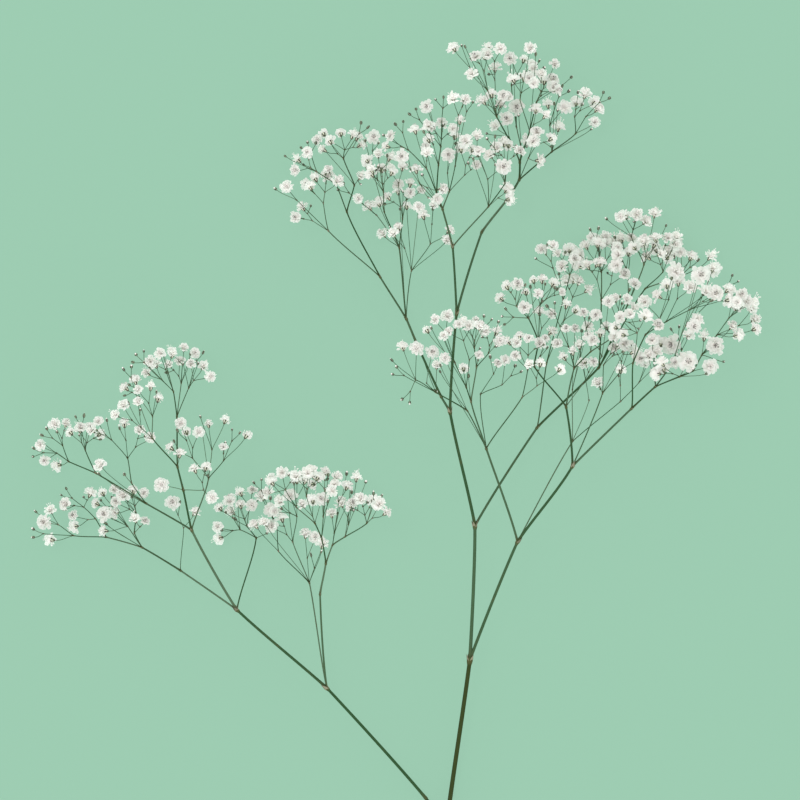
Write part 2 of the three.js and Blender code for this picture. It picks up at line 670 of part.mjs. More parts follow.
function knuckleCorners(node, axis, side, roll) {
  const size = JOINT_SWELLING * cornerRadius(node.diameter, STALK_SIDES);
  const backFrame = frameAlong(axis, side.clone().applyAxisAngle(axis, roll));
  const frontFrame = frameAlong(axis, backFrame.across.clone().applyAxisAngle(axis, Math.PI / 3));
  const rise = Math.SQRT1_2 * size;
  return [
    ...ring(node.point, backFrame, 3, () => [size, -rise]),
    ...ring(node.point, frontFrame, 3, () => [size, rise]),
  ];
}

function faceNormal(corners, face) {
  const [first, second, third] = face.map((index) => corners[index]);
  const edge = second.clone().sub(first);
  return edge.cross(third.clone().sub(first)).normalize();
}

// Gives each direction a face of its own, so that the worst of them still looks its way well.
// `looks[direction][face]` is how well a face looks that way.
function shareFaces(looks, taken = [], worst = 1) {
  if (taken.length === looks.length) return { taken, worst };
  let best = { taken: null, worst: -1 };
  looks[taken.length].forEach((look, face) => {
    const least = Math.min(worst, look);
    if (taken.includes(face) || least <= best.worst) return;
    const shared = shareFaces(looks, [...taken, face], least);
    if (shared.worst > best.worst) best = shared;
  });
  return best;
}

// The knuckle of a fork, rolled so that its faces suit its shoots.
function fitKnuckle(node, before, shoots) {
  const directions = shoots.map((shoot) => shoot.point.clone().sub(node.point).normalize());
  const behind = node.point.clone().sub(before.point).normalize();
  const axis = directions.reduce((sum, direction) => sum.addScaledVector(direction, 0.5), behind);
  axis.normalize();
  let best = { worst: -Infinity };
  for (let step = 0; step < ROLL_STEPS; step += 1) {
    const roll = (step * 2 * Math.PI) / (3 * ROLL_STEPS);
    const corners = knuckleCorners(node, axis, sideOf(axis), roll);
    const normals = FACES_AHEAD.map((face) => faceNormal(corners, face));
    const looks = directions.map((direction) => normals.map((normal) => normal.dot(direction)));
    const { taken, worst } = shareFaces(looks);
    if (worst > best.worst) best = { corners, taken, worst };
  }
  return best;
}

// `to`, turned so that its corners come next to those of `from`.
function leastTwist(skin, from, to) {
  const offset = skin.centre(to).sub(skin.centre(from));
  const beside = to.map((_, index) => from[index * (from.length / to.length)]);
  const turned = to.map((_, turn) => to.map((__, index) => to[(index + turn) % to.length]));
  const twist = (order) => beside.reduce((sum, corner, index) => {
    const moved = skin.corners[corner].clone().add(offset);
    return sum + moved.distanceToSquared(skin.corners[order[index]]);
  }, 0);
  return turned.reduce((least, order) => (twist(order) < twist(least) ? order : least));
}

// A frame along `axis` that starts at the first corner of `from`.
function frameFrom(skin, from, axis) {
  return frameAlong(axis, skin.corners[from[0]].clone().sub(skin.centre(from)));
}

// A ring close to the joint, where the joint is much thicker than the stalk or its face looks askew.
function squareUp(skin, from, node, before) {
  const radius = cornerRadius(node.diameter, STALK_SIDES);
  const along = node.point.clone().sub(before.point).normalize();
  const centre = skin.centre(from);
  const isSlim = skin.corners[from[0]].distanceTo(centre) < SLIM_RATIO * radius;
  if (isSlim && faceNormal(skin.corners, from).dot(along) > SQUARE_ENOUGH) return from;
  const frame = frameFrom(skin, from, along);
  const loop = skin.addRing(plainRing(centre.addScaledVector(along, SLIM_LENGTH), frame, STALK_SIDES, radius));
  skin.addTube(from, leastTwist(skin, from, loop));
  return loop;
}

function growTip(skin, from, tip, before) {
  const frame = frameFrom(skin, from, facing(tip, before));
  let last = from;
  for (const points of tip.kind === 'bud' ? budRings(tip, frame) : flowerRings(tip, frame)) {
    const next = skin.addRing(points);
    skin.addTube(last, next);
    last = next;
  }
}

function growBend(skin, from, node, before) {
  const [next] = node.children;
  const axis = next.point.clone().sub(before.point);
  const radius = cornerRadius(node.diameter, from.length);
  const loop = skin.addRing(plainRing(node.point, frameFrom(skin, from, axis), from.length, radius));
  skin.addTube(from, loop);
  grow(skin, loop, next, node);
}

function growFork(skin, from, node, before) {
  const shoots = node.children.map(shootOf).sort((one, other) => other.load - one.load);
  const { corners, taken } = fitKnuckle(node, before, shoots);
  const loop = skin.addRing(corners);
  skin.addTube(from, leastTwist(skin, from, loop.slice(0, 3)));
  FACES_AHEAD.forEach((face, index) => {
    const facet = face.map((corner) => loop[corner]);
    const shoot = shoots[taken.indexOf(index)];
    if (!shoot) skin.addFace(facet);
    else if (node.kind === 'limb' && shoot.kind === 'fork') growFoot(skin, facet, node, shoot);
    else grow(skin, facet, shoot, node);
  });
}

// The main stem between two joints is rounder than a twig.
function growInternode(skin, from, node, before) {
  const along = node.point.clone().sub(before.point).normalize();
  const radius = cornerRadius(node.diameter, STEM_SIDES);
  const start = skin.centre(from).addScaledVector(along, JOINT_LENGTH);
  const end = node.point.clone().addScaledVector(along, -JOINT_LENGTH);
  let last = from;
  for (const centre of [start, end]) {
    const loop = skin.addRing(plainRing(centre, frameFrom(skin, last, along), STEM_SIDES, radius));
    skin.addTube(last, loop);
    last = loop;
  }
  return last;
}

// The foot of a spray on the main stem ends flat.
function growFoot(skin, from, joint, shoot) {
  const end = skin.addRing(footRing(joint, shoot, footPoint(joint, shoot, STUB_LENGTH)));
  const loop = leastTwist(skin, from, end);
  skin.addTube(from, loop);
  skin.addFace(loop);
}

function grow(skin, from, node, before) {
  const onStem = node.kind === 'limb' || node.kind === 'bend';
  const start = onStem ? growInternode(skin, from, node, before) : squareUp(skin, from, node, before);
  if (node.children.length === 0) growTip(skin, start, node, before);
  else if (node.children.length === 1) growBend(skin, start, node, before);
  else growFork(skin, start, node, before);
}

// What grows from a joint; a spray is only a name for what grows from it.
function shootOf(child) {
  return child.kind === 'spray' ? child.children[0] : child;
}

function footPoint(joint, shoot, distance) {
  const direction = shoot.point.clone().sub(joint.point).normalize();
  return joint.point.clone().addScaledVector(direction, distance);
}

// The three corners that a spray and its foot share, at `centre`.
function footRing(joint, shoot, centre) {
  const along = shoot.point.clone().sub(joint.point);
  const radius = cornerRadius(shoot.diameter, STALK_SIDES);
  return plainRing(centre, frameAlong(along, sideOf(along)), STALK_SIDES, radius);
}

// A skin that starts with a flat ring and grows to all that `node` carries.
function grownSkin(firstRing, node, before) {
  const skin = new Skin();
  const start = skin.addRing(firstRing);
  skin.addFace([...start].reverse());
  grow(skin, start, node, before);
  return skin.geometry();
}

// ---- Solids ----
function solidOf(geometry) {
  geometry.deleteAttribute('normal');
  geometry.deleteAttribute('uv');
  const merged = mergeVertices(geometry, 1e-5);
  return new wasm.Manifold(new wasm.Mesh({
    numProp: 3,
    vertProperties: new Float32Array(merged.attributes.position.array),
    triVerts: new Uint32Array(merged.index.array),
  }));
}

// All that reaches under the surface is pressed flat on it.
const GROUND = new THREE.BoxGeometry(2000, 2000, 100).translate(0, 0, SURFACE_HEIGHT - 50);

function pressedFlat(solid) {
  return solid.subtract(solidOf(GROUND.clone()));
}

function meshOf(name, solid, material) {
  const { vertProperties, triVerts } = solid.getMesh();
  const geometry = new THREE.BufferGeometry();
  geometry.setAttribute('position', new THREE.BufferAttribute(vertProperties, 3));
  geometry.setIndex(new THREE.BufferAttribute(triVerts, 1));
  const mesh = new THREE.Mesh(geometry, material);
  mesh.name = name;
  return mesh;
}

// ---- Main stem and sprays ----
// A pointed papery scale that stands at a joint, on the outer side of `shoot`.
function bract(joint, shoot) {
  const along = shoot.point.clone().sub(joint.point).normalize();
  const outward = new THREE.Vector3().crossVectors(UP, along).normalize();
  const frame = frameAlong(along.addScaledVector(outward, BRACT_LEAN), UP);
  const root = joint.point.clone().addScaledVector(outward, 0.3 * joint.diameter);
  const middlePoint = root.clone().addScaledVector(frame.normal, 0.4 * BRACT_LENGTH);
  return closedSkin([
    plainRing(root, frame, 3, BRACT_THICKNESS),
    plainRing(middlePoint, frame, 3, 0.5 * BRACT_WIDTH),
    [root.clone().addScaledVector(frame.normal, BRACT_LENGTH)],
  ]);
}

function bracts(node) {
  const stems = node.children.filter((child) => child.kind !== 'spray');
  const here = node.kind === 'limb' ? [bract(node, shootOf(node.children[0]))] : [];
  return [...here, ...stems.flatMap(bracts)];
}

function stemMesh(node, cutEnd, material) {
  const along = node.point.clone().sub(cutEnd.point);
  const radius = cornerRadius(node.diameter, STEM_SIDES);
  const cut = plainRing(cutEnd.point, frameAlong(along, sideOf(along)), STEM_SIDES, radius);
  const parts = [grownSkin(cut, node, cutEnd), ...bracts(node)].map(solidOf);
  return meshOf('main_stem', pressedFlat(parts.reduce((sum, solid) => sum.add(solid))), material);
}

function sprayMeshes(node, material) {
  return node.children.flatMap((child) => {
    if (child.kind !== 'spray') return sprayMeshes(child, material);
    const shoot = shootOf(child);
    const foot = { point: footPoint(node, shoot, STUB_LENGTH + SPRAY_GAP) };
    const solid = solidOf(grownSkin(footRing(node, shoot, foot.point), shoot, foot));
    return [meshOf(child.name, pressedFlat(solid), material)];
  });
}

// ---- The plant ----
function stemMaterial() {
  return new THREE.MeshStandardMaterial({ color: 0x55703f, roughness: 0.6, metalness: 0 });
}

function petalMaterial() {
  return new THREE.MeshStandardMaterial({ color: 0xf2e9e7, roughness: 0.85, metalness: 0 });
}

function buildPlant() {
  const cutEnd = { point: new THREE.Vector3(CUT_END.x, CUT_END.y, CUT_END.z), ...CUT_END };
  prepare(plant, cutEnd);
  setDiameters(plant, plant.load);
  settleLimbs(plant, cutEnd);
  settleSprays(plant);
  const group = new THREE.Group();
  group.add(stemMesh(plant, cutEnd, stemMaterial()));
  group.add(...sprayMeshes(plant, petalMaterial()));
  return group;
}

// The origin lies on the surface, below the middle of the whole plant.
function centreOnSurface(group) {
  const box = new THREE.Box3().setFromObject(group);
  const centre = box.getCenter(new THREE.Vector3());
  group.position.set(-centre.x, -centre.y, -box.min.z);
  return group;
}

export default centreOnSurface(buildPlant());
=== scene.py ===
"""Visual model of one cut gypsophila stem: twigs, papery bracts, double flowers and buds.

The plant lies on its side. X runs across it, Y along it from the cut end to the crown, and Z up
from the surface that it lies on. The layout is in millimetres in the plant's own frame. Each piece
is turned into metres in the frame of the row once its mesh is complete.
"""
import json
import logging
import math
from dataclasses import dataclass, field
from enum import Enum
from typing import Sequence

import bmesh
import bpy
import numpy as np
from mathutils import Matrix, Vector

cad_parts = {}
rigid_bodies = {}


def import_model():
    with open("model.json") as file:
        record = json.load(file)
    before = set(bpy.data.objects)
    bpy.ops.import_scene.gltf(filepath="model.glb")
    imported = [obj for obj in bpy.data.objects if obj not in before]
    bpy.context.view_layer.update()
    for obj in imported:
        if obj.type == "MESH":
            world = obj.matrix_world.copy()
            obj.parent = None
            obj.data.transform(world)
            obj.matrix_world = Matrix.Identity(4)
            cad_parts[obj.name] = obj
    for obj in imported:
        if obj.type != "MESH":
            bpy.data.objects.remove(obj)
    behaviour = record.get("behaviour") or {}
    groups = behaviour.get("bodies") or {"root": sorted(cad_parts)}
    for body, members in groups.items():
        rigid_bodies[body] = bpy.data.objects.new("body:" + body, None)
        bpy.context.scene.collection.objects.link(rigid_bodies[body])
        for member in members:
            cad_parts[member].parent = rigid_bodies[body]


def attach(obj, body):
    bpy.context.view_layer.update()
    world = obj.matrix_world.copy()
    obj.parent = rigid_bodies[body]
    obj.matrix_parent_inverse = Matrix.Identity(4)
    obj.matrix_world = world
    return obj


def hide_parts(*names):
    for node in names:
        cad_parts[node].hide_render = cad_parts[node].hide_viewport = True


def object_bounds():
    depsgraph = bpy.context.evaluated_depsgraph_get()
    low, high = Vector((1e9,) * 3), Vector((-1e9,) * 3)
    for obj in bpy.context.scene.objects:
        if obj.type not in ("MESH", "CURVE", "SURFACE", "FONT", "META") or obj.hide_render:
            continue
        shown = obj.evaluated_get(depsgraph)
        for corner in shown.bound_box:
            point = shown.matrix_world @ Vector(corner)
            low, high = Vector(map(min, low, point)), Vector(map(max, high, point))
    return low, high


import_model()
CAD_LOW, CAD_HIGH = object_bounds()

log = logging.getLogger("gypsophila")

# The plant's own frame in the frame of the row, in millimetres.
ROW_OFFSET = (2.1654281616210938, -200.0547981262207, -0.699999988079071)
# Metres in a millimetre.
METRES = 0.001
# How far petals and buds stay inside the box of the CAD, in millimetres.
BOX_MARGIN = 0.12
# How far the tip of a flower lies beyond the foot of its calyx, in millimetres.
CALYX_DEPTH = 3.1
# The main stem at its cut end, and the least it shrinks to on a flower's stalk, in millimetres.
STEM_DIAMETER = 3.0
STALK_DIAMETER = 0.52
# The number that stands for no node, and the least length that is divided by.
NOWHERE = -1
TINY = 1e-9


class Kind(Enum):
    """What a node of the plant's layout is."""

    LIMB = "limb"
    BEND = "bend"
    SPRAY = "spray"
    FORK = "fork"
    FLOWER = "flower"
    ROSETTE = "rosette"
    BUD = "bud"


@dataclass(eq=False)
class Node:
    """A joint, flower or bud of the plant, with all that grows from it.

    `count` is how many tips it stands for and `load` how many it carries. A spray keeps between
    `low` and `high`. `lift` is how far a tip faces up, `place` where it stands in millimetres, and
    `before` what it grows from.
    """

    kind: Kind
    x: float = 0.0
    y: float = 0.0
    z: float = 0.0
    count: int = 0
    children: list["Node"] = field(default_factory=list)
    name: str = ""
    low: float = 0.0
    high: float = 0.0
    seed: int = 1
    load: int = 1
    diameter: float = 0.0
    radius: float = 0.0
    lift: float = 0.0
    number: int = -1
    place: np.ndarray = field(default_factory=lambda: np.zeros(3))
    before: "Node | None" = None

    @property
    def is_tip(self) -> bool:
        """Whether a flower or a bud stands here."""
        return self.kind in (Kind.FLOWER, Kind.ROSETTE, Kind.BUD)

    @property
    def shoots(self) -> list["Node"]:
        """What grows from here; a spray is only a name for what grows from it."""
        return [each.children[0] if each.kind is Kind.SPRAY else each for each in self.children]

    def run(self, other: "Node") -> float:
        """How far it stands from another node, seen from above."""
        return math.hypot(self.x - other.x, self.y - other.y)


def limb(x: float, y: float, z: float, *children: Node) -> Node:
    """A joint of the main stem."""
    return Node(Kind.LIMB, x, y, z, children=list(children))


def bend(x: float, y: float, z: float, child: Node) -> Node:
    """A bend of the main stem."""
    return Node(Kind.BEND, x, y, z, children=[child])


def spray(name: str, low: float, high: float, seed: int, shoot: Node) -> Node:
    """A named spray, which keeps between two heights."""
    return Node(Kind.SPRAY, children=[shoot], name=name, low=low, high=high, seed=seed)


def fork(x: float, y: float, *children: Node) -> Node:
    """A fork of a twig."""
    return Node(Kind.FORK, x, y, children=list(children))


def cyme(x: float, y: float, count: int = 1) -> Node:
    """One flower, or a cluster of them."""
    return Node(Kind.FLOWER, x, y, count=count)


def rosette(x: float, y: float) -> Node:
    """A wide open flower that faces up."""
    return Node(Kind.ROSETTE, x, y, count=1)


def buds(x: float, y: float, count: int = 1) -> Node:
    """One bud, or a cluster of them."""
    return Node(Kind.BUD, x, y, count=count)


# ---- Layout of the plant ----
LEFT_LOW = fork(-132, 137.5,
  fork(-130, 163, rosette(-136.5, 178.5), cyme(-123, 173)),
  fork(-155, 151.5,
    fork(-176.5, 157.5,
      fork(-196, 158.5,
        fork(-205, 165, rosette(-214, 166.5), cyme(-210, 174), buds(-219, 173)),
        cyme(-210, 156), buds(-219, 160, 2)),
      fork(-183, 168.5,
        cyme(-193.5, 167.5, 2),
        fork(-190, 175.5, cyme(-201, 177.5), cyme(-186, 184), buds(-201, 184, 2)))),
    fork(-163.5, 164, rosette(-178, 171.5), cyme(-178, 161.5), cyme(-178, 183, 3)),
    fork(-159.5, 160,
      fork(-158.5, 172, cyme(-167, 177, 3), cyme(-160, 183, 3), buds(-168, 186)),
      cyme(-153, 167.5))))

LEFT_HIGH = fork(-125, 162,
  fork(-152.5, 178,
    fork(-182.5, 196,
      fork(-199, 203,
        fork(-206, 208, cyme(-213.5, 203.5), cyme(-216, 213), buds(-219, 208.5, 2)),
        fork(-202.5, 212.5, cyme(-203.5, 222, 2), buds(-211, 219, 2)),
        cyme(-206, 201)),
      fork(-189, 210, cyme(-194.5, 221.5, 2), cyme(-186.5, 221, 3), buds(-192, 229, 2))),
    fork(-161, 190,
      fork(-163.5, 205,
        fork(-173, 216, cyme(-182.5, 224, 2), buds(-176, 228)),
        cyme(-165.5, 226), cyme(-153.5, 219, 2)),
      buds(-165, 195)),
    cyme(-180, 201)),
  fork(-130, 186,
    fork(-133.5, 200,
      fork(-148.5, 217,
        fork(-155, 223, cyme(-167.5, 233.5, 2), cyme(-157, 239)),
        fork(-148.5, 230, cyme(-161.5, 249, 2), cyme(-153, 246.5, 2), cyme(-145, 241)),
        buds(-163, 258, 2)),
      fork(-134, 230,
        fork(-136, 245, cyme(-149, 258.5, 2), cyme(-143.5, 266.5, 3), buds(-157, 266, 3)),
        fork(-131.5, 250, cyme(-130, 270, 3), cyme(-134, 257.5, 2)),
        fork(-127, 247, cyme(-119, 259, 3), buds(-121, 268, 2))),
      cyme(-132, 208)),
    fork(-118, 186, cyme(-119, 193, 2), cyme(-114.5, 183)),
    rosette(-143, 189)),
  fork(-115, 193,
    fork(-124.5, 205, cyme(-131.5, 226), cyme(-124.5, 220, 2), cyme(-138, 211.5)),
    fork(-113, 210, cyme(-115, 226), cyme(-105, 228), buds(-120, 230)),
    fork(-106, 203.5, cyme(-92, 219), cyme(-106, 212), buds(-99, 220, 2))))

LEFT_THIN = fork(-86.5, 157,
  fork(-96, 162, cyme(-104.5, 161, 2), cyme(-105, 176.5, 2), buds(-98, 185)),
  fork(-92, 164, cyme(-94.5, 172.5, 3), cyme(-89, 184.5, 3)),
  buds(-80, 160))

UMBEL = fork(-54.5, 130,
  fork(-73, 149,
    fork(-74, 163, rosette(-78, 174), cyme(-83, 182), buds(-85, 190, 2)),
    cyme(-87, 165)),
  fork(-64.5, 154.5,
    fork(-62, 170, cyme(-68.5, 173.5, 2), rosette(-66, 183), cyme(-62, 192)),
    cyme(-73.5, 166, 2)),
  fork(-51.5, 139, cyme(-46.5, 153.5), buds(-53.5, 147)),
  cyme(-57, 159.5))

LEFT_INNER = fork(-48, 123.5,
  fork(-44.5, 142,
    fork(-47, 157,
      fork(-51, 166,
        fork(-62, 175.5, cyme(-73.5, 193.5, 4), buds(-64, 194, 2)),
        fork(-56, 182, cyme(-55.5, 195, 3)),
        cyme(-54, 174.5, 2)),
      fork(-46, 170, rosette(-47, 181), cyme(-45, 195.5, 3), cyme(-40.5, 185.5))),
    fork(-40.5, 153,
      fork(-39.5, 160, cyme(-41, 172), cyme(-35.5, 188, 2), buds(-32, 196)),
      fork(-33, 158,
        fork(-20, 166, cyme(-12, 173.5, 2), cyme(-23, 179.5, 3), buds(-14, 182, 2)),
        fork(-31, 165, cyme(-31.5, 173, 2), cyme(-26, 193.5), buds(-20.5, 191))))))

CROWN_FAR = fork(24.7, 242,
  fork(10, 274,
    fork(3.7, 289,
      fork(-12, 314,
        fork(-43, 341.5,
          fork(-62, 360, cyme(-68, 368), buds(-75, 367)),
          cyme(-60, 352.5, 2),
          fork(-46, 358, cyme(-56.5, 370), cyme(-44, 373.5, 3))),
        fork(-32, 353,
          fork(-38.5, 369.5,
            fork(-50, 377, cyme(-59, 383, 3), buds(-69, 386.5), buds(-55, 393, 3)),
            cyme(-43, 378.5)),
          fork(-27.5, 369,
            fork(-34, 385,
              cyme(-46, 400), cyme(-42, 391.5, 2), cyme(-32, 399, 4), buds(-22, 404, 2)),
            cyme(-25, 372.5)))),
      fork(-0.5, 331.7,
        fork(-14, 351, cyme(-25, 361), cyme(-18.5, 356), buds(-34.5, 367.5, 2)),
        fork(-9.5, 353,
          fork(-10, 365, cyme(-10.5, 371.5, 3), cyme(-17, 378.5), cyme(-13, 386, 3)),
          fork(-17, 381, rosette(-16, 398), buds(-21, 396))),
        fork(1.5, 349, cyme(-1, 364.5, 3), cyme(6, 369, 3), cyme(-2, 379, 2)),
        cyme(-10.5, 340)),
      fork(6.8, 317.5,
        fork(18.2, 333.6, cyme(20, 357), cyme(30, 342), cyme(14, 351)),
        cyme(-1, 344), cyme(4, 357), cyme(11, 355.5)))))

CROWN_LEFT = fork(25.5, 354.6,
  fork(12, 369.5, rosette(1, 386), cyme(9.5, 378.5), cyme(17, 367, 2)),
  fork(22, 364,
    fork(16, 378.5,
      fork(5, 390, cyme(-5, 394.5, 2), buds(-10, 399), buds(0, 405, 2)),
      cyme(9, 402), cyme(16, 388)),
    fork(23, 381,
      cyme(17, 396.5), cyme(17, 405),
      fork(24.5, 392,
        rosette(16, 416), cyme(25.5, 403.5, 3), buds(26, 420, 3), buds(8.5, 412, 2)))),
  fork(29.5, 365,
    fork(28.5, 376, rosette(29, 387), cyme(33, 399)),
    fork(33, 380, cyme(35.5, 419.5, 2), cyme(36, 408), buds(41, 418, 2)),
    fork(38.8, 375, cyme(46, 381), cyme(40, 389.5, 2))))

CROWN_MIDDLE = fork(53, 356,
  fork(52.6, 372.4, cyme(47, 389), cyme(43, 396, 2), rosette(62, 380)),
  fork(63, 370, cyme(58, 391.5), cyme(65, 391.5, 3), buds(55, 396, 2), buds(53, 390, 2)),
  cyme(64.5, 366.5))

CROWN_RIGHT = fork(49.2, 341,
  fork(64, 360,
    fork(71.7, 372.4,
      fork(72, 383,
        fork(68, 392,
          fork(58, 410,
            fork(52.6, 425.5,
              cyme(32, 452), cyme(43, 435.5), cyme(49, 446, 2), buds(39, 452)),
            fork(57, 432, cyme(56.5, 452, 2), cyme(57, 439.5)),
            cyme(55.5, 421, 3), cyme(60.5, 418)),
          fork(65.5, 398, cyme(57, 404.5), rosette(64, 409), buds(52, 400))),
        fork(73, 390,
          fork(70, 404,
            fork(67, 429, rosette(66, 445), cyme(74, 443.5, 3), buds(84, 441, 2)),
            rosette(70, 416)),
          rosette(77, 396.5)),
        fork(77.8, 401.4,
          fork(72, 420, cyme(78, 451), cyme(74, 431, 3)),
          fork(82, 419, cyme(88, 433.5, 4), cyme(85.5, 424, 2), cyme(93, 442), buds(103, 434)),
          cyme(83, 410, 2))),
      fork(77, 385,
        fork(81.6, 392.6, cyme(91, 397), cyme(82, 401)),
        cyme(83, 384)),
      fork(91.2, 389.2,
        fork(90, 405, rosette(99, 416), cyme(89, 418), buds(97, 427, 3)),
        fork(105.4, 399.9,
          fork(105, 410, cyme(106, 419), cyme(113.5, 420.5, 2), buds(107, 425)),
          fork(111.5, 410, buds(123, 422, 2), cyme(119, 415)),
          cyme(117, 407)),
        cyme(95.5, 404)))))

MIDDLE = fork(51.7, 211,
  fork(40.3, 233.6,
    fork(21.7, 244.4,
      fork(9.4, 252, cyme(1.5, 272), rosette(10, 271), buds(-5, 264), buds(8, 249, 2)),
      fork(16, 250, rosette(19.5, 269), buds(18.5, 248)),
      cyme(22, 261), buds(-2, 257, 2)),
    rosette(27, 265)),
  fork(42.5, 239,
    fork(39.7, 247.5,
      fork(33, 262, cyme(16, 282), cyme(25, 288.5, 2), cyme(26, 278.5)),
      fork(41.5, 264, cyme(35.5, 284, 3), buds(48, 271)),
      cyme(38, 259)),
    fork(45.8, 259.7,
      fork(44.5, 271, cyme(42, 286.5, 2), cyme(44.5, 278, 2), buds(52, 288, 2)),
      cyme(47.5, 267),
      fork(53, 268, cyme(54.5, 280.5, 2), rosette(60, 275.5), buds(59, 287)))),
  fork(48.2, 243.4,
    fork(56, 255.5, cyme(58, 260.5), buds(54, 266)),
    fork(61, 249, cyme(63, 264), buds(69, 257, 2))),
  fork(73.1, 241.6,
    fork(76.5, 258, cyme(69, 266.5), cyme(68.5, 276, 2), cyme(77, 275.5, 3)),
    fork(82, 248.5, cyme(81.5, 254, 2), cyme(96, 258.5))))

DOME_LEFT = fork(99.6, 236,
  fork(80.5, 260,
    fork(83, 275,
      fork(77, 289,
        fork(70, 296, cyme(60, 301), cyme(67.5, 308, 2), buds(75, 309)),
        cyme(79, 303.5, 2), rosette(75.5, 293), buds(63, 290, 3)),
      fork(84, 297, cyme(80, 312), cyme(88.5, 310.5, 2), cyme(94, 307, 2)),
      cyme(87, 291.5, 2), cyme(91, 281)),
    fork(84, 266, cyme(87, 277), buds(86, 268.5))),
  fork(104.4, 259,
    fork(101, 272,
      fork(96, 284, cyme(99.5, 290, 2), buds(91, 296, 2)),
      cyme(99.5, 283), cyme(96, 273.5)),
    fork(114.3, 269,
      fork(127, 277.5,
        fork(130, 288, cyme(126, 299.5), cyme(135, 298.5, 3), buds(140, 286, 2)),
        cyme(123.5, 284.5), rosette(117.5, 291)),
      cyme(110, 292.5), cyme(115, 273)),
    cyme(103.5, 269.5), cyme(98, 266)),
  fork(110, 250, cyme(116, 263), fork(121, 266, cyme(117, 278, 2), rosette(125, 299))))

DOME_INNER = fork(121.4, 244,
  cyme(119, 249.5),
  fork(122, 261, cyme(131, 275, 2), buds(127, 266, 2)),
  fork(133, 258.5, cyme(132.5, 266, 2), cyme(138, 273), rosette(144, 265)))

DOME_THIN = fork(103.5, 215,
  fork(113.4, 239.6, cyme(107.5, 273), cyme(110, 262)),
  fork(132.3, 239,
    fork(143.5, 250.5, cyme(147, 262), cyme(151, 268), buds(157, 265)),
    cyme(132.5, 258)),
  fork(103.5, 246, cyme(105, 283), cyme(113, 284), buds(113, 288, 2)))

DOME_RIGHT = fork(139, 235,
  fork(139.5, 262,
    fork(147, 279,
      fork(155.5, 288.6,
        fork(161, 300, rosette(165, 317), cyme(156, 302), cyme(160, 309)),
        cyme(147, 299)),
      fork(159.5, 287,
        fork(173.4, 294, rosette(189, 304), cyme(183, 305), cyme(197, 306), buds(205, 306)),
        cyme(170, 308.5, 2)),
      cyme(154.5, 285)),
    fork(142, 280, cyme(147, 290.5), cyme(133, 285, 2))),
  fork(153.2, 248,
    fork(152, 262, cyme(151, 276), cyme(157, 274), cyme(153, 267.5)),
    fork(163, 261.5,
      fork(170.9, 284.3, rosette(180, 315), cyme(187.5, 317.5), cyme(178, 288), buds(200, 312, 2)),
      fork(169, 270, rosette(166, 271.5), cyme(173, 279), buds(166, 280, 2)),
      cyme(165, 263)),
    fork(167.6, 254,
      rosette(172.5, 263),
      fork(175.6, 257.4,
        rosette(186, 260),
        fork(181, 267,
          rosette(189, 272.5), cyme(182.5, 278), buds(194, 263),
          fork(190, 279,
            fork(197, 289, cyme(198.5, 298), cyme(207, 300, 2), buds(211, 300)),
            fork(203, 284.5, cyme(215, 288.5), cyme(211, 295)),
            cyme(202.5, 279)))),
      cyme(160.5, 257, 2))))

DOME_BACK = fork(82.5, 223.5,
  fork(88, 262,
    fork(98, 300,
      fork(92, 319, cyme(89, 329.5, 2), buds(81.5, 325)),
      fork(102, 315, cyme(98, 319.5), cyme(98.5, 328.5, 2), cyme(105, 325))),
    cyme(107, 310, 3)),
  fork(119.5, 259.5,
    fork(121, 300,
      fork(121, 317,
        cyme(112.5, 331.5, 3), cyme(119.5, 336.5, 2), cyme(126.5, 332, 2), buds(117, 341.5, 2)),
      cyme(116.5, 321, 2), cyme(131, 317, 2)),
    fork(137, 298,
      fork(137, 315, cyme(135, 324, 2), cyme(139, 335.5, 3), buds(129, 338)),
      fork(146.5, 321.4,
        fork(139, 338, cyme(132.5, 350), cyme(141.5, 348.5, 3), buds(124, 349)),
        cyme(153, 352), cyme(149, 331.5, 4), buds(160, 345)),
      cyme(141, 310)),
    fork(147.4, 307,
      fork(158, 317, cyme(156.5, 322, 3), cyme(157, 336.5, 2), cyme(166, 338)),
      fork(168, 314,
        cyme(164.5, 328), cyme(172, 326.5, 2), cyme(187.5, 322.5, 2), buds(178, 323, 3)))))

CUT_END = (26.5, -55.0, 2.1)
PLANT = limb(28, -15.6, 5,
  bend(16, 0, 8,
    limb(-44, 67, 19,
      spray("spray_left_inner", 36, 84, 10, LEFT_INNER),
      spray("spray_umbel", 3.4, 40, 4, UMBEL),
      limb(-98, 114, 26,
        spray("spray_left_thin", 3.4, 40, 4, LEFT_THIN),
        spray("spray_left_low", 3.4, 48, 4, LEFT_LOW),
        spray("spray_left_high", 8, 80, 1, LEFT_HIGH)))),
  limb(42, 84, 22,
    limb(45, 164.5, 33,
      spray("spray_dome_back", 3.4, 44, 5, DOME_BACK),
      limb(30, 233, 40,
        spray("spray_crown_far", 3.4, 54, 16, CROWN_FAR),
        limb(34, 292, 44,
          spray("spray_crown_right", 3.4, 80, 6, CROWN_RIGHT),
          limb(31.6, 332, 47,
            spray("spray_crown_left", 30, 88, 10, CROWN_LEFT),
            spray("spray_crown_middle", 40, 88, 10, CROWN_MIDDLE))))),
    limb(70.6, 155, 35,
      spray("spray_middle", 56, 104, 8, MIDDLE),
      spray("spray_dome_thin", 20, 50, 1, DOME_THIN),
      limb(103.5, 200.3, 47,
        spray("spray_dome_left", 46, 84, 26, DOME_LEFT),
        spray("spray_dome_inner", 40, 76, 26, DOME_INNER),
        spray("spray_dome_right", 50, 104, 1, DOME_RIGHT)))))


def on_spray(node: Node) -> list[Node]:
    """All nodes of a spray, from its first fork on."""
    return [node, *(found for child in node.children for found in on_spray(child))]


def spans(*rows: tuple[float, ...]) -> np.ndarray:
    """The columns of a small table of numbers, as one row each."""
    return np.array(rows).T


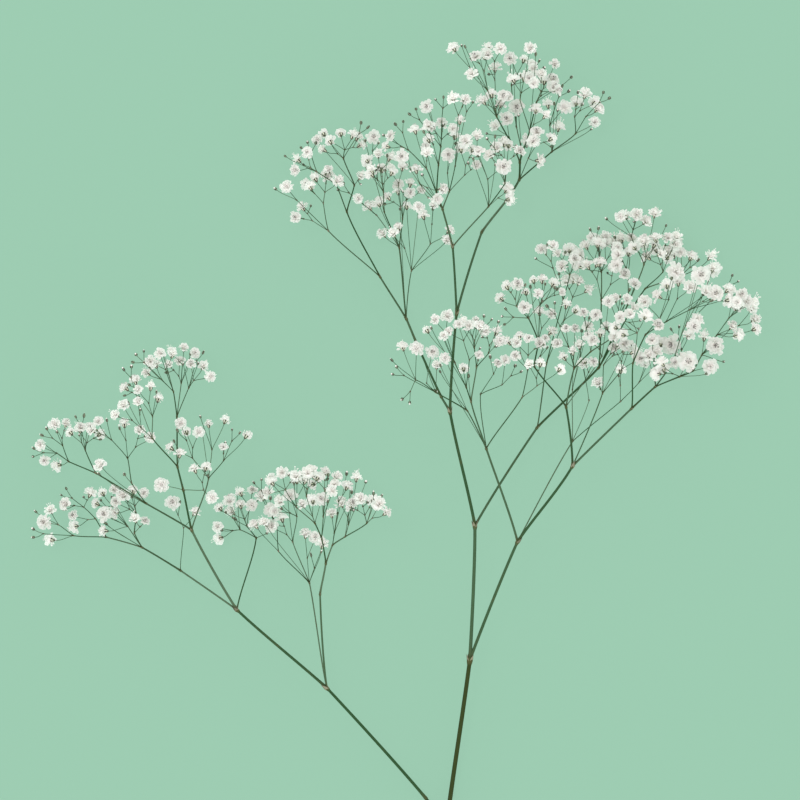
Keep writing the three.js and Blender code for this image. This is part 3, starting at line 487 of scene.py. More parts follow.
class Draws:
    """A repeatable series of numbers between 0 and 1."""

    FACTOR = 16807
    MODULUS = 2147483647

    def __init__(self, seed: int) -> None:
        """Starts the series at `seed`, which isn't 0."""
        self.state = seed

    def next(self) -> float:
        """The next number, between 0 and 1."""
        self.state = self.state * self.FACTOR % self.MODULUS
        return self.state / self.MODULUS

    def between(self, low: float, high: float) -> float:
        """The next number, between `low` and `high`."""
        return low + (high - low) * self.next()


def limited(value: np.ndarray) -> np.ndarray:
    """Keeps values between 0 and 1."""
    return np.minimum(np.maximum(value, 0.0), 1.0)


def dot(one: np.ndarray, other: np.ndarray) -> np.ndarray:
    """Row by row, the scalar product of two lists of vectors."""
    return (one * other).sum(axis=-1)


def unit(vector: np.ndarray) -> np.ndarray:
    """The vector at length one."""
    return vector / max(float(np.linalg.norm(vector)), TINY)


def line_distances(
    start: np.ndarray, end: np.ndarray, other_start: np.ndarray, other_end: np.ndarray
) -> np.ndarray:
    """Distances between straight lines, row by row.

    Args:
        start: Starts of the lines.
        end: Ends of the lines.
        other_start: Starts of the lines that they are measured to.
        other_end: Ends of those lines.

    Returns:
        The least distance of each pair.
    """
    line, other_line, apart = end - start, other_end - other_start, start - other_start
    length = np.maximum(dot(line, line), TINY)
    other_length = np.maximum(dot(other_line, other_line), TINY)
    across, back, ahead = dot(line, other_line), dot(line, apart), dot(other_line, apart)
    spread = np.maximum(length * other_length - across * across, TINY)
    first = limited((across * ahead - back * other_length) / spread)
    second = limited((across * first + ahead) / other_length)
    share = limited((across * second - back) / length)
    return np.linalg.norm(apart + line * share[:, None] - other_line * second[:, None], axis=1)


@dataclass(frozen=True)
class Stretch:
    """A twig, or a tip as a twig of no length, with the room that it takes.

    Attributes:
        start: Where it starts.
        free: From where on it has to keep clear of twigs of the same joint.
        end: Where it ends.
        radius: Its clearance round its middle line.
        joint: Number of the node that it starts from, or NOWHERE.
    """

    start: np.ndarray
    free: np.ndarray
    end: np.ndarray
    radius: float
    joint: int

    @classmethod
    def tip(cls, place: np.ndarray, clearance: float) -> "Stretch":
        """A flower, a bud or a joint at `place`."""
        return cls(place, place, place, clearance, NOWHERE)


class Grown:
    """The twigs and tips that have their place already."""

    def __init__(self, most: int) -> None:
        """Makes room.

        Args:
            most: How many twigs and tips there may be.
        """
        self.used = 0
        self.starts, self.frees, self.ends = (np.zeros((most, 3)) for _ in range(3))
        self.joints, self.tops = (np.full(most, NOWHERE) for _ in range(2))
        self.radii = np.zeros(most)

    def add(self, new: Stretch, top: int) -> None:
        """Adds a twig or tip.

        Args:
            new: The twig or tip.
            top: Number of the node that it ends in, or NOWHERE.
        """
        row = self.used
        self.starts[row], self.frees[row], self.ends[row] = new.start, new.free, new.end
        self.joints[row], self.tops[row], self.radii[row] = new.joint, top, new.radius
        self.used += 1

    def narrowest(self, new: Stretch) -> float:
        """The narrowest gap from a new twig or tip to all that has its place.

        Args:
            new: The twig or tip.

        Returns:
            The gap in millimetres, below zero where the two overlap.
        """
        rows = slice(0, self.used)
        attached = new.joint != NOWHERE
        sisters = (self.joints[rows] == new.joint) & attached
        onward = (self.tops[rows] == new.joint) & attached
        starts = np.where((sisters | onward)[:, None], new.free, new.start)
        others = np.where(sisters[:, None], self.frees[rows], self.starts[rows])
        gaps = line_distances(starts, new.end, others, self.ends[rows])
        return float((gaps - new.radius - self.radii[rows]).min())


@dataclass
class Plant:
    """Finds the place of every joint, flower and bud of the layout."""

    layout: Node
    cut_end: Node
    flower_radius: float = 3.3
    flower_radius_spread: float = 0.9
    rosette_radius: float = 4.6
    shortest_stalk: float = 7.0
    shortest_cluster: float = 12.5
    cluster_stalk: float = 10.5
    bud_stalk: float = 6.0
    cluster_angle: float = 0.74
    cluster_setback: float = 0.85
    cluster_share: float = 0.65
    steepest: float = 0.85
    fork_spread: float = 0.7
    tip_spread: float = 1.2
    rosette_depth: float = 0.4
    rows_per_node: int = 4
    draws_per_twig: int = 60
    clear_enough: float = 1.2
    free_start: float = 3.0
    clearances: dict[Kind, float] = field(
        default_factory=lambda: {Kind.FLOWER: 4.2, Kind.ROSETTE: 4.8, Kind.BUD: 1.8, Kind.FORK: 0.3}
    )

    def grow(self) -> None:
        """Opens the clusters, then finds each diameter and each place."""
        self.layout = self._prepare(self.layout, self.cut_end)
        self._set_diameters(self.layout, self.layout.load)
        self.nodes: list[Node] = []
        self._number(self.layout)
        self.cut_end.number = len(self.nodes)
        self.cut_end.diameter = STEM_DIAMETER
        self.grown = Grown(self.rows_per_node * len(self.nodes))
        self._settle_limbs(self.layout, self.cut_end)
        self._settle_sprays(self.layout)

    def _keep_apart(self, node: Node, parent: Node) -> None:
        """Puts a tip that stands very close to its joint a little further out.

        Args:
            node: The node, which may be moved.
            parent: The joint that it grows from.
        """
        run = node.run(parent)
        shortest = self.shortest_cluster if node.count > 1 else self.shortest_stalk
        if node.count == 0 or run >= shortest:
            return
        node.x = parent.x + (node.x - parent.x) * shortest / run
        node.y = parent.y + (node.y - parent.y) * shortest / run

    def _open_cluster(self, node: Node, parent: Node) -> Node:
        """Fans the flowers or buds of a cluster out on stalks from one joint.

        Args:
            node: A node of the layout, which stands for `node.count` tips.
            parent: The joint that it grows from.

        Returns:
            The fork of the cluster, or the node itself where it is no cluster.
        """
        if node.count < 2:
            return node
        heading = math.atan2(node.y - parent.y, node.x - parent.x)
        longest = self.cluster_share * node.run(parent) / self.cluster_setback
        stalk = min(self.bud_stalk if node.kind is Kind.BUD else self.cluster_stalk, longest)
        joint_x = node.x - self.cluster_setback * stalk * math.cos(heading)
        joint_y = node.y - self.cluster_setback * stalk * math.sin(heading)
        tips = []
        for index in range(node.count):
            turn = heading + self.cluster_angle * (index - 0.5 * (node.count - 1))
            x, y = joint_x + stalk * math.cos(turn), joint_y + stalk * math.sin(turn)
            tips.append(Node(node.kind, x, y, count=1))
        return fork(joint_x, joint_y, *tips)

    def _prepare(self, node: Node, parent: Node) -> Node:
        """Opens the clusters of a node and counts what each twig carries.

        Args:
            node: A node of the layout.
            parent: The joint that it grows from.

        Returns:
            The node that takes its place.
        """
        self._keep_apart(node, parent)
        opened = self._open_cluster(node, parent)
        here = parent if node.kind is Kind.SPRAY else opened
        opened.children = [self._prepare(child, here) for child in opened.children]
        opened.load = sum(child.load for child in opened.children) if opened.children else 1
        return opened

    def _set_diameters(self, node: Node, total: int) -> None:
        """Shares the cross-section of the stem out at every fork.

        Args:
            node: The node that gets its diameter, before all that grows from it.
            total: The number of tips of the plant.
        """
        area = STEM_DIAMETER**2 - STALK_DIAMETER**2
        node.diameter = math.sqrt(STALK_DIAMETER**2 + area * (node.load - 1) / (total - 1))
        for child in node.children:
            self._set_diameters(child, total)

    def _number(self, node: Node) -> None:
        """Numbers a node and all that grows from it.

        Args:
            node: The node.
        """
        node.number = len(self.nodes)
        self.nodes.append(node)
        for child in node.children:
            self._number(child)

    def _twig(self, node: Node, parent: Node, place: np.ndarray) -> Stretch:
        """The twig of a node that stands at `place`.

        Args:
            node: The node.
            parent: The joint that it grows from.
            place: Where the node stands, in millimetres.

        Returns:
            The twig, which has to keep clear of its sisters a little way beyond the joint.
        """
        start = parent.place
        share = min(0.5, self.free_start / float(np.linalg.norm(place - start)))
        free = start + (place - start) * share
        return Stretch(start, free, place, 0.5 * node.diameter, parent.number)

    def _settle_limbs(self, node: Node, parent: Node) -> None:
        """Places the joints of the main stem.

        Args:
            node: The first joint to place.
            parent: The joint that it grows from.
        """
        node.place, node.before = np.array([node.x, node.y, node.z], float), parent
        self.grown.add(self._twig(node, parent, node.place), node.number)
        for child in node.children:
            if child.kind is not Kind.SPRAY:
                self._settle_limbs(child, node)

    def _settle_sprays(self, node: Node) -> None:
        """Places all sprays that grow from a joint of the main stem, and those beyond it.

        Args:
            node: The joint.
        """
        for child in node.children:
            if child.kind is Kind.SPRAY:
                self._settle(child.children[0], node, child, Draws(child.seed))
            else:
                self._settle_sprays(child)

    def _settle(self, node: Node, parent: Node, band: Node, draws: Draws) -> None:
        """Places a node of a spray, then all that grows from it.

        Args:
            node: The node.
            parent: The joint that it grows from.
            band: The spray, which says between which heights it keeps.
            draws: The spray's series of numbers.
        """
        node.before = parent
        node.place = self._choose_place(node, parent, band, draws)
        self.grown.add(self._twig(node, parent, node.place), node.number)
        self.grown.add(Stretch.tip(node.place, self.clearances[node.kind]), node.number)
        if node.kind is Kind.FLOWER:
            node.radius = self.flower_radius + self.flower_radius_spread * draws.next()
        if node.kind is Kind.ROSETTE:
            node.radius = self.rosette_radius
        for child in node.children:
            self._settle(child, node, band, draws)

    def _choose_place(self, node: Node, parent: Node, band: Node, draws: Draws) -> np.ndarray:
        """Of several draws for a node's height, the one that keeps it clear of what has grown.

        Args:
            node: The node to place.
            parent: The joint that it grows from.
            band: The spray, which says between which heights it keeps.
            draws: The spray's series of numbers.

        Returns:
            The place in millimetres.
        """
        reach = self.steepest * node.run(parent)
        depth = band.high - band.low
        spread = (self.fork_spread if node.kind is Kind.FORK else self.tip_spread) * depth
        best_gap, best_place, draw = -math.inf, parent.place, 0
        while draw < self.draws_per_twig and best_gap < self.clear_enough:
            share, draw = draws.next(), draw + 1
            height = 0.5 * (band.low + band.high) + spread * (share - 0.5)
            if node.kind is Kind.ROSETTE:
                height = band.high - self.rosette_depth * share * depth
            height = min(max(height, band.low), band.high)
            height = min(max(height, parent.place[2] - reach), parent.place[2] + reach)
            place = np.array([node.x, node.y, max(height, band.low)])
            gap = min(self.clear_enough, self._gap(node, parent, place))
            if gap > best_gap:
                best_gap, best_place = gap, place
        return best_place

    def _gap(self, node: Node, parent: Node, place: np.ndarray) -> float:
        """The narrowest gap of a node's twig and tip.

        Args:
            node: The node.
            parent: The joint that it grows from.
            place: Where the node would stand.

        Returns:
            The gap in millimetres, below zero where something overlaps.
        """
        twig = self.grown.narrowest(self._twig(node, parent, place))
        tip = self.grown.narrowest(Stretch.tip(place, self.clearances[node.kind]))
        return min(twig, tip)


# The share of a spray's flowers that have a side bloom, and how large its flowers are. A spray that
# isn't listed takes the share in Cymes.
FULLNESS = {
    "spray_dome_right": (1.0, 1.15),
    "spray_dome_back": (0.76, 1.06),
    "spray_dome_inner": (0.16, 1.0),
    "spray_dome_left": (0.0, 0.91),
    "spray_dome_thin": (0.0, 0.94),
    "spray_umbel": (0.58, 1.0),
    "spray_crown_right": (0.30, 1.0),
    "spray_crown_middle": (0.84, 1.07),
    "spray_crown_left": (0.20, 0.97),
    "spray_crown_far": (0.26, 0.95),
    "spray_middle": (0.0, 0.90),
    "spray_left_high": (0.0, 0.93),
    "spray_left_low": (0.06, 0.96),
}


@dataclass
class Cymes:
    """Fills the cymes out with side blooms and side buds.

    Their stalks fork off a tip's stalk, or come from the joint below it.
    """

    plant: Plant
    seed: int = 4711
    bloom_share: float = 0.18
    bud_share: float = 0.48
    from_below: float = 0.5
    fork_at: float = 0.5
    bloom_distance: float = 5.0
    bud_distance: float = 3.8
    narrowest: float = -1.6
    tries: int = 14
    most_lift: float = 2.0
    most_drop: float = 1.1
    facing_down: float = 0.30
    room_below: float = 10.0
    side_radius: float = 4.1
    bloom_overlap: float = 0.6
    bud_overlap: float = 0.8
    distance_spread: tuple[float, float] = (0.9, 1.2)
    shift: tuple[float, float] = (-3.0, 1.0)
    slant: float = 0.3

    def fill(self) -> None:
        """Turns each flower up by its own share, and adds the side tips."""
        draws = Draws(self.seed)
        for band in [node for node in self.plant.nodes if node.kind is Kind.SPRAY]:
            bloom_share, size = FULLNESS.get(band.name, (self.bloom_share, 1.0))
            for tip in [node for node in on_spray(band.children[0]) if node.is_tip]:
                tip.lift = self._lift(tip.place, draws)
                tip.radius *= size
                share = draws.next()
                if tip.kind is Kind.FLOWER and share < bloom_share:
                    self._add(tip, Kind.FLOWER, self.bloom_distance, draws)
                elif tip.kind is not Kind.BUD and share < bloom_share + self.bud_share:
                    self._add(tip, Kind.BUD, self.bud_distance, draws)

    def _add(self, tip: Node, kind: Kind, distance: float, draws: Draws) -> None:
        """Adds a side tip where there is room for one.

        Args:
            tip: The flower that it stands beside.
            kind: What to add.
            distance: How far from the flower it stands.
            draws: The series of numbers that decides where it stands.
        """
        overlap = self.bloom_overlap if kind is Kind.FLOWER else self.bud_overlap
        clearance = self.plant.clearances[kind] - overlap
        stalk = tip.place - tip.before.place
        joint, along = tip.before.place + self.fork_at * stalk, unit(stalk)
        best_gap, best_place = -math.inf, tip.place
        for _ in range(self.tries):
            turn = draws.between(0.0, 2.0 * math.pi)
            turned = np.array([math.cos(turn), self.slant, math.sin(turn)])
            across = unit(np.cross(along, turned))
            place = tip.place + distance * draws.between(*self.distance_spread) * across
            place = place + draws.between(*self.shift) * along
            place[2] = max(place[2], clearance)
            gap = self.plant.grown.narrowest(Stretch.tip(place, clearance))
            if gap > best_gap:
                best_gap, best_place = gap, place
        if best_gap < self.narrowest:
            return
        radius = min(self.side_radius, tip.radius)
        side = Node(kind, load=1, diameter=tip.diameter, place=best_place, radius=radius)
        side.lift = self._lift(best_place, draws)
        below = tip.before.before
        if draws.next() < self.from_below and below.kind is Kind.FORK:
            side.before = below
            below.children.append(side)
        else:
            self._fork_off(tip, side, joint)
        self.plant.grown.add(Stretch.tip(best_place, clearance), NOWHERE)

    def _lift(self, place: np.ndarray, draws: Draws) -> float:
        """How far a tip faces up, or down where it stands high enough.

        Args:
            place: Where it stands.
            draws: The series of numbers that decides it.

        Returns:
            The upward part that is added to the direction of its stalk.
        """
        share = draws.next()
        if share < self.facing_down and place[2] > self.room_below:
            return -draws.next() * self.most_drop
        return self.most_lift * share**3

    @staticmethod
    def _fork_off(tip: Node, side: Node, place: np.ndarray) -> None:
        """Puts a joint on the stalk of a tip, and grows the side tip's stalk from it.

        Args:
            tip: The tip.
            side: The side tip.
            place: Where the joint goes.
        """
        joint = Node(Kind.FORK, children=[tip, side], load=2, diameter=tip.diameter)
        joint.place, joint.before = place, tip.before
        siblings = tip.before.children
        siblings[siblings.index(tip)] = joint
        tip.before = side.before = joint


# ---- Small shapes ----
# Every shape carries two attributes for its finish. "Tone" holds a number drawn for each copy, how
# stout it is (on petals, how much painted shade greys them), how near a joint or how far along a
# petal a point lies, and a second drawn number.
# "Grain" holds coordinates that follow the surface: round and along a stem, or across and along a
# petal.
TONE = "Tone"
GRAIN = "Grain"
SIDEWAYS = np.array([1.0, 0.0, 0.0])
AHEAD = np.array([0.0, 1.0, 0.0])
UPWARDS = np.array([0.0, 0.0, 1.0])


def closed_mesh(mesh_data: bmesh.types.BMesh, name: str) -> bpy.types.Mesh:
    """Turns a bmesh into a smooth mesh with empty Tone and Grain attributes.

    Args:
        mesh_data: The bmesh, which is freed.
        name: Name of the mesh.

    Returns:
        The mesh.
    """
    for face in mesh_data.faces:
        face.smooth = True
    mesh = bpy.data.meshes.new(name)
    mesh_data.to_mesh(mesh)
    mesh_data.free()
    mesh.attributes.new(TONE, "FLOAT_COLOR", "POINT")
    mesh.attributes.new(GRAIN, "FLOAT_VECTOR", "POINT")
    return mesh


def points_of(mesh: bpy.types.Mesh) -> np.ndarray:
    """The corners of a mesh.

    Args:
        mesh: The mesh.

    Returns:
        Their places, one row each.
    """
    points = np.zeros(3 * len(mesh.vertices))
    mesh.vertices.foreach_get("co", points)
    return points.reshape(-1, 3)


def move_points(mesh: bpy.types.Mesh, points: np.ndarray) -> None:
    """Gives the corners of a mesh their new places."""
    mesh.vertices.foreach_set("co", points.ravel())
    mesh.update()


def write_attribute(mesh: bpy.types.Mesh, name: str, values: np.ndarray) -> None:
    """Writes one of the two attributes, one row for each corner."""
    mesh.attributes[name].data.foreach_set("color" if name == TONE else "vector", values.ravel())


def set_slot(mesh: bpy.types.Mesh, slot: int) -> None:
    """Gives all faces of a mesh one material slot."""
    for face in mesh.polygons:
        face.material_index = slot


def linked(name: str, data: bpy.types.ID) -> bpy.types.Object:
    """A new object of the scene, at the origin.

    Args:
        name: Its name.
        data: Its mesh, lamp or camera.

    Returns:
        The object.
    """
    made = bpy.data.objects.new(name, data)
    bpy.context.scene.collection.objects.link(made)
    return made


def read_tone(mesh: bpy.types.Mesh) -> np.ndarray:
    """The Tone of a mesh.

    Args:
        mesh: The mesh.

    Returns:
        Its four numbers, one row for each corner.
    """
    values = np.zeros(4 * len(mesh.vertices))
    mesh.attributes[TONE].data.foreach_get("color", values)
    return values.reshape(-1, 4)


class Tube:
    """A closed tube of a number of rings, which is bent and swollen into twigs, buds and scales."""

    MOST_UPRIGHT = 0.8
    _blanks: dict[tuple[int, int], bpy.types.Mesh] = {}

    @classmethod
    def blank(cls, sides: int, rings: int) -> bpy.types.Mesh:
        """A straight tube of radius 1 whose rings stand one apart, closed at both ends.

        Args:
            sides: Corners of a ring.
            rings: Number of rings.

        Returns:
            The mesh, which is shared by all tubes of that build.
        """
        if (sides, rings) not in cls._blanks:
            tube = bmesh.new()
            bmesh.ops.create_circle(tube, cap_ends=False, segments=sides, radius=1.0)
            rim = tube.edges[:]
            for _ in range(rings - 1):
                grown = bmesh.ops.extrude_edge_only(tube, edges=rim)["geom"]
                corners = [part for part in grown if isinstance(part, bmesh.types.BMVert)]
                bmesh.ops.translate(tube, verts=corners, vec=(0.0, 0.0, 1.0))
                rim = [part for part in grown if isinstance(part, bmesh.types.BMEdge)]
            bmesh.ops.holes_fill(tube, edges=tube.edges[:], sides=sides)
            bmesh.ops.recalc_face_normals(tube, faces=tube.faces[:])
            cls._blanks[sides, rings] = closed_mesh(tube, f"tube_{sides}_{rings}")
        return cls._blanks[sides, rings]

    @classmethod
    def rings(cls, sides: int, count: int) -> np.ndarray:
        """For each corner of a tube, the number of its ring."""
        return np.rint(points_of(cls.blank(sides, count))[:, 2]).astype(int)

    @classmethod
    def along(
        cls,
        path: np.ndarray,
        radii: Sequence[float],
        sides: int,
        flatness: float = 1.0,
        side: np.ndarray | None = None,
    ) -> bpy.types.Mesh:
        """A tube along a path.

        Args:
            path: Centre of each ring, one row each.
            radii: Radius of each ring.
            sides: Corners of a ring.
            flatness: Thickness over width.
            side: Direction of the tube's width at its start.

        Returns:
            A new mesh. Its Grain runs round and along it, in millimetres along.
        """
        blank = cls.blank(sides, len(path))
        tube = blank.copy()
        shape = points_of(blank)
        rings = cls.rings(sides, len(path))
        across, third = cls._frames(path, side)
        reach = np.asarray(radii)[rings][:, None]
        width = shape[:, 0:1] * across[rings]
        depth = flatness * shape[:, 1:2] * third[rings]
        move_points(tube, path[rings] + reach * (width + depth))
        steps = np.linalg.norm(np.diff(path, axis=0), axis=1)
        length = np.concatenate(([0.0], np.cumsum(steps)))
        write_attribute(tube, GRAIN, np.column_stack((shape[:, 0], shape[:, 1], length[rings])))
        return tube

    @classmethod
    def _frames(cls, path: np.ndarray, side: np.ndarray | None) -> tuple[np.ndarray, np.ndarray]:
        """Two directions across the path at each ring, which turn as little as they can.

        Args:
            path: Centre of each ring, one row each.
            side: The first direction at the start, or None.

        Returns:
            Both directions, one row for each ring.
        """
        ahead = np.gradient(path, axis=0)
        ahead /= np.maximum(np.linalg.norm(ahead, axis=1), TINY)[:, None]
        if side is None:
            side = UPWARDS if abs(ahead[0, 2]) < cls.MOST_UPRIGHT else AHEAD
        across = np.zeros_like(path)
        for ring, direction in enumerate(ahead):
            side = unit(side - direction * float(side @ direction))
            across[ring] = side
        return across, np.cross(ahead, across)


def set_tone(
    mesh: bpy.types.Mesh,
    drawn: float,
    stoutness: float,
    nearness: np.ndarray,
    other: float,
) -> None:
    """Fills the Tone of a mesh.

    Args:
        mesh: The mesh.
        drawn: A drawn number, the same all over.
        stoutness: How stout the twig is, the same all over.
        nearness: How near a joint, or how far along a petal, for each corner.
        other: A second drawn number.
    """
    tone = np.zeros((len(mesh.vertices), 4))
    for column, values in enumerate((drawn, stoutness, nearness, other)):
        tone[:, column] = values
    write_attribute(mesh, TONE, tone)


@dataclass(frozen=True)
class PetalRing:
    """One ring of petals of a double flower; angles are from the flower's axis, in degrees."""

    count: int
    length: float
    half_width: float
    start_angle: float
    end_angle: float
    foot: float


class Opening(Enum):
    """How far a flower has opened, as its rings of petals from the outside in."""

    WIDE = (
        PetalRing(9, 4.45, 1.42, 52.0, 98.0, -1.30),
        PetalRing(8, 4.30, 1.34, 34.0, 78.0, -1.20),
        PetalRing(7, 3.80, 1.20, 14.0, 54.0, -1.05),
        PetalRing(6, 3.10, 1.00, -5.0, 22.0, -0.80),
    )
    OPEN = (
        PetalRing(9, 4.55, 1.46, 50.0, 106.0, -1.45),
        PetalRing(8, 4.90, 1.46, 32.0, 74.0, -1.30),
        PetalRing(7, 4.75, 1.36, 14.0, 48.0, -1.20),
        PetalRing(6, 4.20, 1.15, -5.0, 20.0, -1.05),
    )
    FAN = (
        PetalRing(9, 4.55, 1.42, 44.0, 104.0, -1.45),
        PetalRing(8, 4.90, 1.40, 26.0, 66.0, -1.30),
        PetalRing(7, 4.90, 1.26, 4.0, 34.0, -1.25),
    )

    @property
    def ripeness(self) -> float:
        """How dark the anthers of a ripe flower are."""
        return {"WIDE": 1.0, "OPEN": 0.6, "FAN": 0.1}[self.name]

    @property
    def creaminess(self) -> float:
        """Painted shade that greys the white, most on heads that face up into the light."""
        return {"WIDE": 1.0, "OPEN": 0.4, "FAN": 0.0}[self.name]


# Lowest and highest top of the stamens, and how far they lean out, in millimetres.
STAMEN_REACH = {
    Opening.WIDE: (1.3, 2.2, 1.1),
    Opening.OPEN: (2.2, 3.6, 1.6),
    Opening.FAN: (3.2, 5.0, 2.2),
}


@dataclass
class Flower:
    """Builds flower heads, calyces and buds, in millimetres about the tip; their axis is Z."""

    heads_per_opening: int = 6
    unripe: float = 0.1
    ripe_share: float = 0.36

    # Petals: the points of their arch, how they differ from each other, and the shape of their tip.
    arch_steps: int = 24
    petal_step: float = 0.22
    length_spread: tuple[float, float] = (0.82, 1.06)
    most_lean: float = 9.0
    arch_spread: tuple[float, float] = (-10.0, 8.0)
    notch: tuple[float, float] = (0.0, 0.10)
    rounding: tuple[float, float] = (0.08, 0.18)
    petal_foot: float = 0.16
    tip_narrowing: float = 0.22
    ruffle: float = 0.28
    ruffle_spread: tuple[float, float] = (0.5, 1.0)
    ruffle_waves: float = 2.6
    ruffle_start: float = 6.28
    channel: float = 0.18
    most_twist: float = 1.0

    # Stamens: their lean is a share of the lean at the top.
    stamens: int = 5
    stamen_step: float = 0.3
    stamen_foot: float = -0.8
    least_lean: float = 0.3
    leaning: tuple[float, ...] = (0.1, 0.5, 0.9, 1.0, 1.1)
    filament_radius: float = 0.09
    anther_radius: float = 0.28
    anther_neck: float = 0.25
    dark_length: float = 0.4
    dark_edge: float = 4.0

    # Height and radius of each ring of the calyx: its cup, then the rim and the lip with the teeth,
    # then the floor inside.
    cup: tuple[tuple[float, float], ...] = (
        (-CALYX_DEPTH, 0.28), (-2.95, 0.56), (-2.35, 0.92), (-1.55, 1.18),
    )
    rim: tuple[float, float] = (-0.70, 1.48)
    lip: tuple[float, float] = (-0.92, 1.30)
    inside: tuple[float, float] = (-1.75, 0.34)
    calyx_sides: int = 10
    tooth_height: float = 0.72
    calyx_height: float = 2.6
    ribbed_height: float = 2.0

    # Each ring of a bud, as a share of its length and of its radius.
    bud_rings: tuple[tuple[float, float], ...] = (
        (0.0, 0.30), (0.06, 0.58), (0.24, 0.92), (0.46, 1.0),
        (0.66, 0.88), (0.72, 0.74), (0.90, 0.46), (1.0, 0.08),
    )
    bud_sides: int = 6
    bud_length: float = 3.0
    bud_radius: float = 0.95

    def heads(self, opening: Opening, seed: int) -> list[bpy.types.Mesh]:
        """Several flower heads that differ from each other.

        Args:
            opening: How far the flowers have opened.
            seed: Start of their series of numbers.

        Returns:
            One mesh for each head: its petals, then its stamens.
        """
        draws = Draws(seed)
        return [self._head(opening, draws) for _ in range(self.heads_per_opening)]

    def _head(self, opening: Opening, draws: Draws) -> bpy.types.Mesh:
        """One flower head of three or four rings of petals round a few stamens.

        Args:
            opening: How far the flower has opened.
            draws: The series of numbers that its petals differ by.

        Returns:
            The mesh.
        """
        head = Gathering()
        ripeness = opening.ripeness if draws.next() < self.ripe_share else self.unripe
        for ring in opening.value:
            turn = draws.between(0.0, 2.0 * math.pi)
            for petal in range(ring.count):
                shift = draws.between(-self.petal_step, self.petal_step)
                azimuth = turn + 2.0 * math.pi * (petal + shift) / ring.count
                shape = self._petal(ring, opening.creaminess, draws)
                head.add(shape, Matrix.Rotation(azimuth, 4, "Z"))
        for stamen in range(self.stamens):
            shift = draws.between(-self.stamen_step, self.stamen_step)
            azimuth = 2.0 * math.pi * (stamen + shift) / self.stamens
            head.add(self._stamen(opening, ripeness, draws), Matrix.Rotation(azimuth, 4, "Z"))
        return head.mesh("flower_head")

    def _petal(self, ring: PetalRing, creaminess: float, draws: Draws) -> bpy.types.Mesh:
        """A narrow petal that widens to a notched, ruffled tip and arches outwards.

        Args:
            ring: The ring that it stands in.
            creaminess: How much painted shade greys its white.
            draws: The series of numbers that it differs by.

        Returns:
            The mesh, with the petal's foot on the axis and the petal in the XZ plane.
        """
        grid = bmesh.new()
        bmesh.ops.create_grid(grid, x_segments=2, y_segments=3, size=1.0)
        petal = closed_mesh(grid, "petal")
        shape = points_of(petal)
        across, share = shape[:, 0], 0.5 + 0.5 * shape[:, 1]
        length = ring.length * draws.between(*self.length_spread)
        lean = draws.between(-self.most_lean, self.most_lean)
        arch = draws.between(*self.arch_spread)
        notch, rounding = draws.between(*self.notch), draws.between(*self.rounding)
        steps = self.arch_steps
        first, last = ring.start_angle + lean, ring.end_angle + lean + arch
        angles = np.radians(np.linspace(first, last, steps))
        outward = np.concatenate(([0.0], np.cumsum(np.sin(angles)))) * length / steps
        upward = np.concatenate(([0.0], np.cumsum(np.cos(angles)))) * length / steps
        drawn_back = notch + (rounding - notch) * np.abs(across)
        along = np.clip(share - drawn_back * share**4, 0.0, 1.0) * steps
        reach = np.interp(along, np.arange(steps + 1), outward)
        height = np.interp(along, np.arange(steps + 1), upward)
        tilt = np.interp(along, np.arange(steps), angles)
        width = ring.half_width * (self.petal_foot + (1.0 - self.petal_foot) * share**0.75)
        width *= 1.0 - self.tip_narrowing * share**6
        ruffle = draws.between(*self.ruffle_spread) * self.ruffle * share**2
        ruffle *= np.sin(self.ruffle_waves * across + draws.between(0.0, self.ruffle_start))
        raised = ruffle + self.channel * across**2 * share
        twist = draws.between(-self.most_twist, self.most_twist) * share
        side = width * across * np.cos(twist) - raised * np.sin(twist)
        lift = width * across * np.sin(twist) + raised * np.cos(twist)
        out, up = reach - lift * np.cos(tilt), ring.foot + height + lift * np.sin(tilt)
        move_points(petal, np.column_stack((out, side, up)))
        set_tone(petal, draws.next(), creaminess, share, draws.next())
        start = np.full_like(share, draws.next())
        write_attribute(petal, GRAIN, np.column_stack((across, share, start)))
        return petal

    def _stamen(self, opening: Opening, ripeness: float, draws: Draws) -> bpy.types.Mesh:
        """A thread from the heart of the flower that ends in an anther.

        Args:
            opening: How far the flower has opened.
            ripeness: How dark its anthers are.
            draws: The series of numbers that it differs by.

        Returns:
            The mesh.
        """
        low, high, most_lean = STAMEN_REACH[opening]
        top, lean = draws.between(low, high), draws.between(self.least_lean, most_lean)
        thread, anther = self.filament_radius, self.anther_radius
        heights = (self.stamen_foot, 0.5 * top, top - self.anther_neck, top, top + anther)
        path = np.column_stack((lean * np.array(self.leaning), np.zeros(5), heights))
        stamen = Tube.along(path, [1.2 * thread, thread, thread, anther, 0.4 * anther], 4)
        height = points_of(stamen)[:, 2] - top + self.dark_length
        set_tone(stamen, draws.next(), 0.0, limited(height * self.dark_edge) * ripeness, 0.5)
        set_slot(stamen, 1)
        return stamen

    def calyx(self) -> bpy.types.Mesh:
        """A green cup of five pointed teeth, closed inside.

        Returns:
            The mesh, whose foot lies CALYX_DEPTH below the tip.
        """
        heights, radii = spans(*self.cup, self.rim, self.lip, self.inside)
        calyx = self._upright(heights, radii, self.calyx_sides)
        points = points_of(calyx)
        height = points[:, 2].copy()
        turn = np.arctan2(points[:, 1], points[:, 0])
        ring = Tube.rings(self.calyx_sides, len(heights)) - len(self.cup)
        tooth = self.tooth_height * np.cos(0.5 * self.calyx_sides * turn)
        points[:, 2] += np.where((ring == 0) | (ring == 1), tooth, 0.0)
        move_points(calyx, points)
        rise = (height + CALYX_DEPTH) / self.ribbed_height
        write_attribute(calyx, GRAIN, np.column_stack((np.cos(turn), np.sin(turn), rise)))
        self._tint(calyx, limited((points[:, 2] + CALYX_DEPTH) / self.calyx_height))
        return calyx

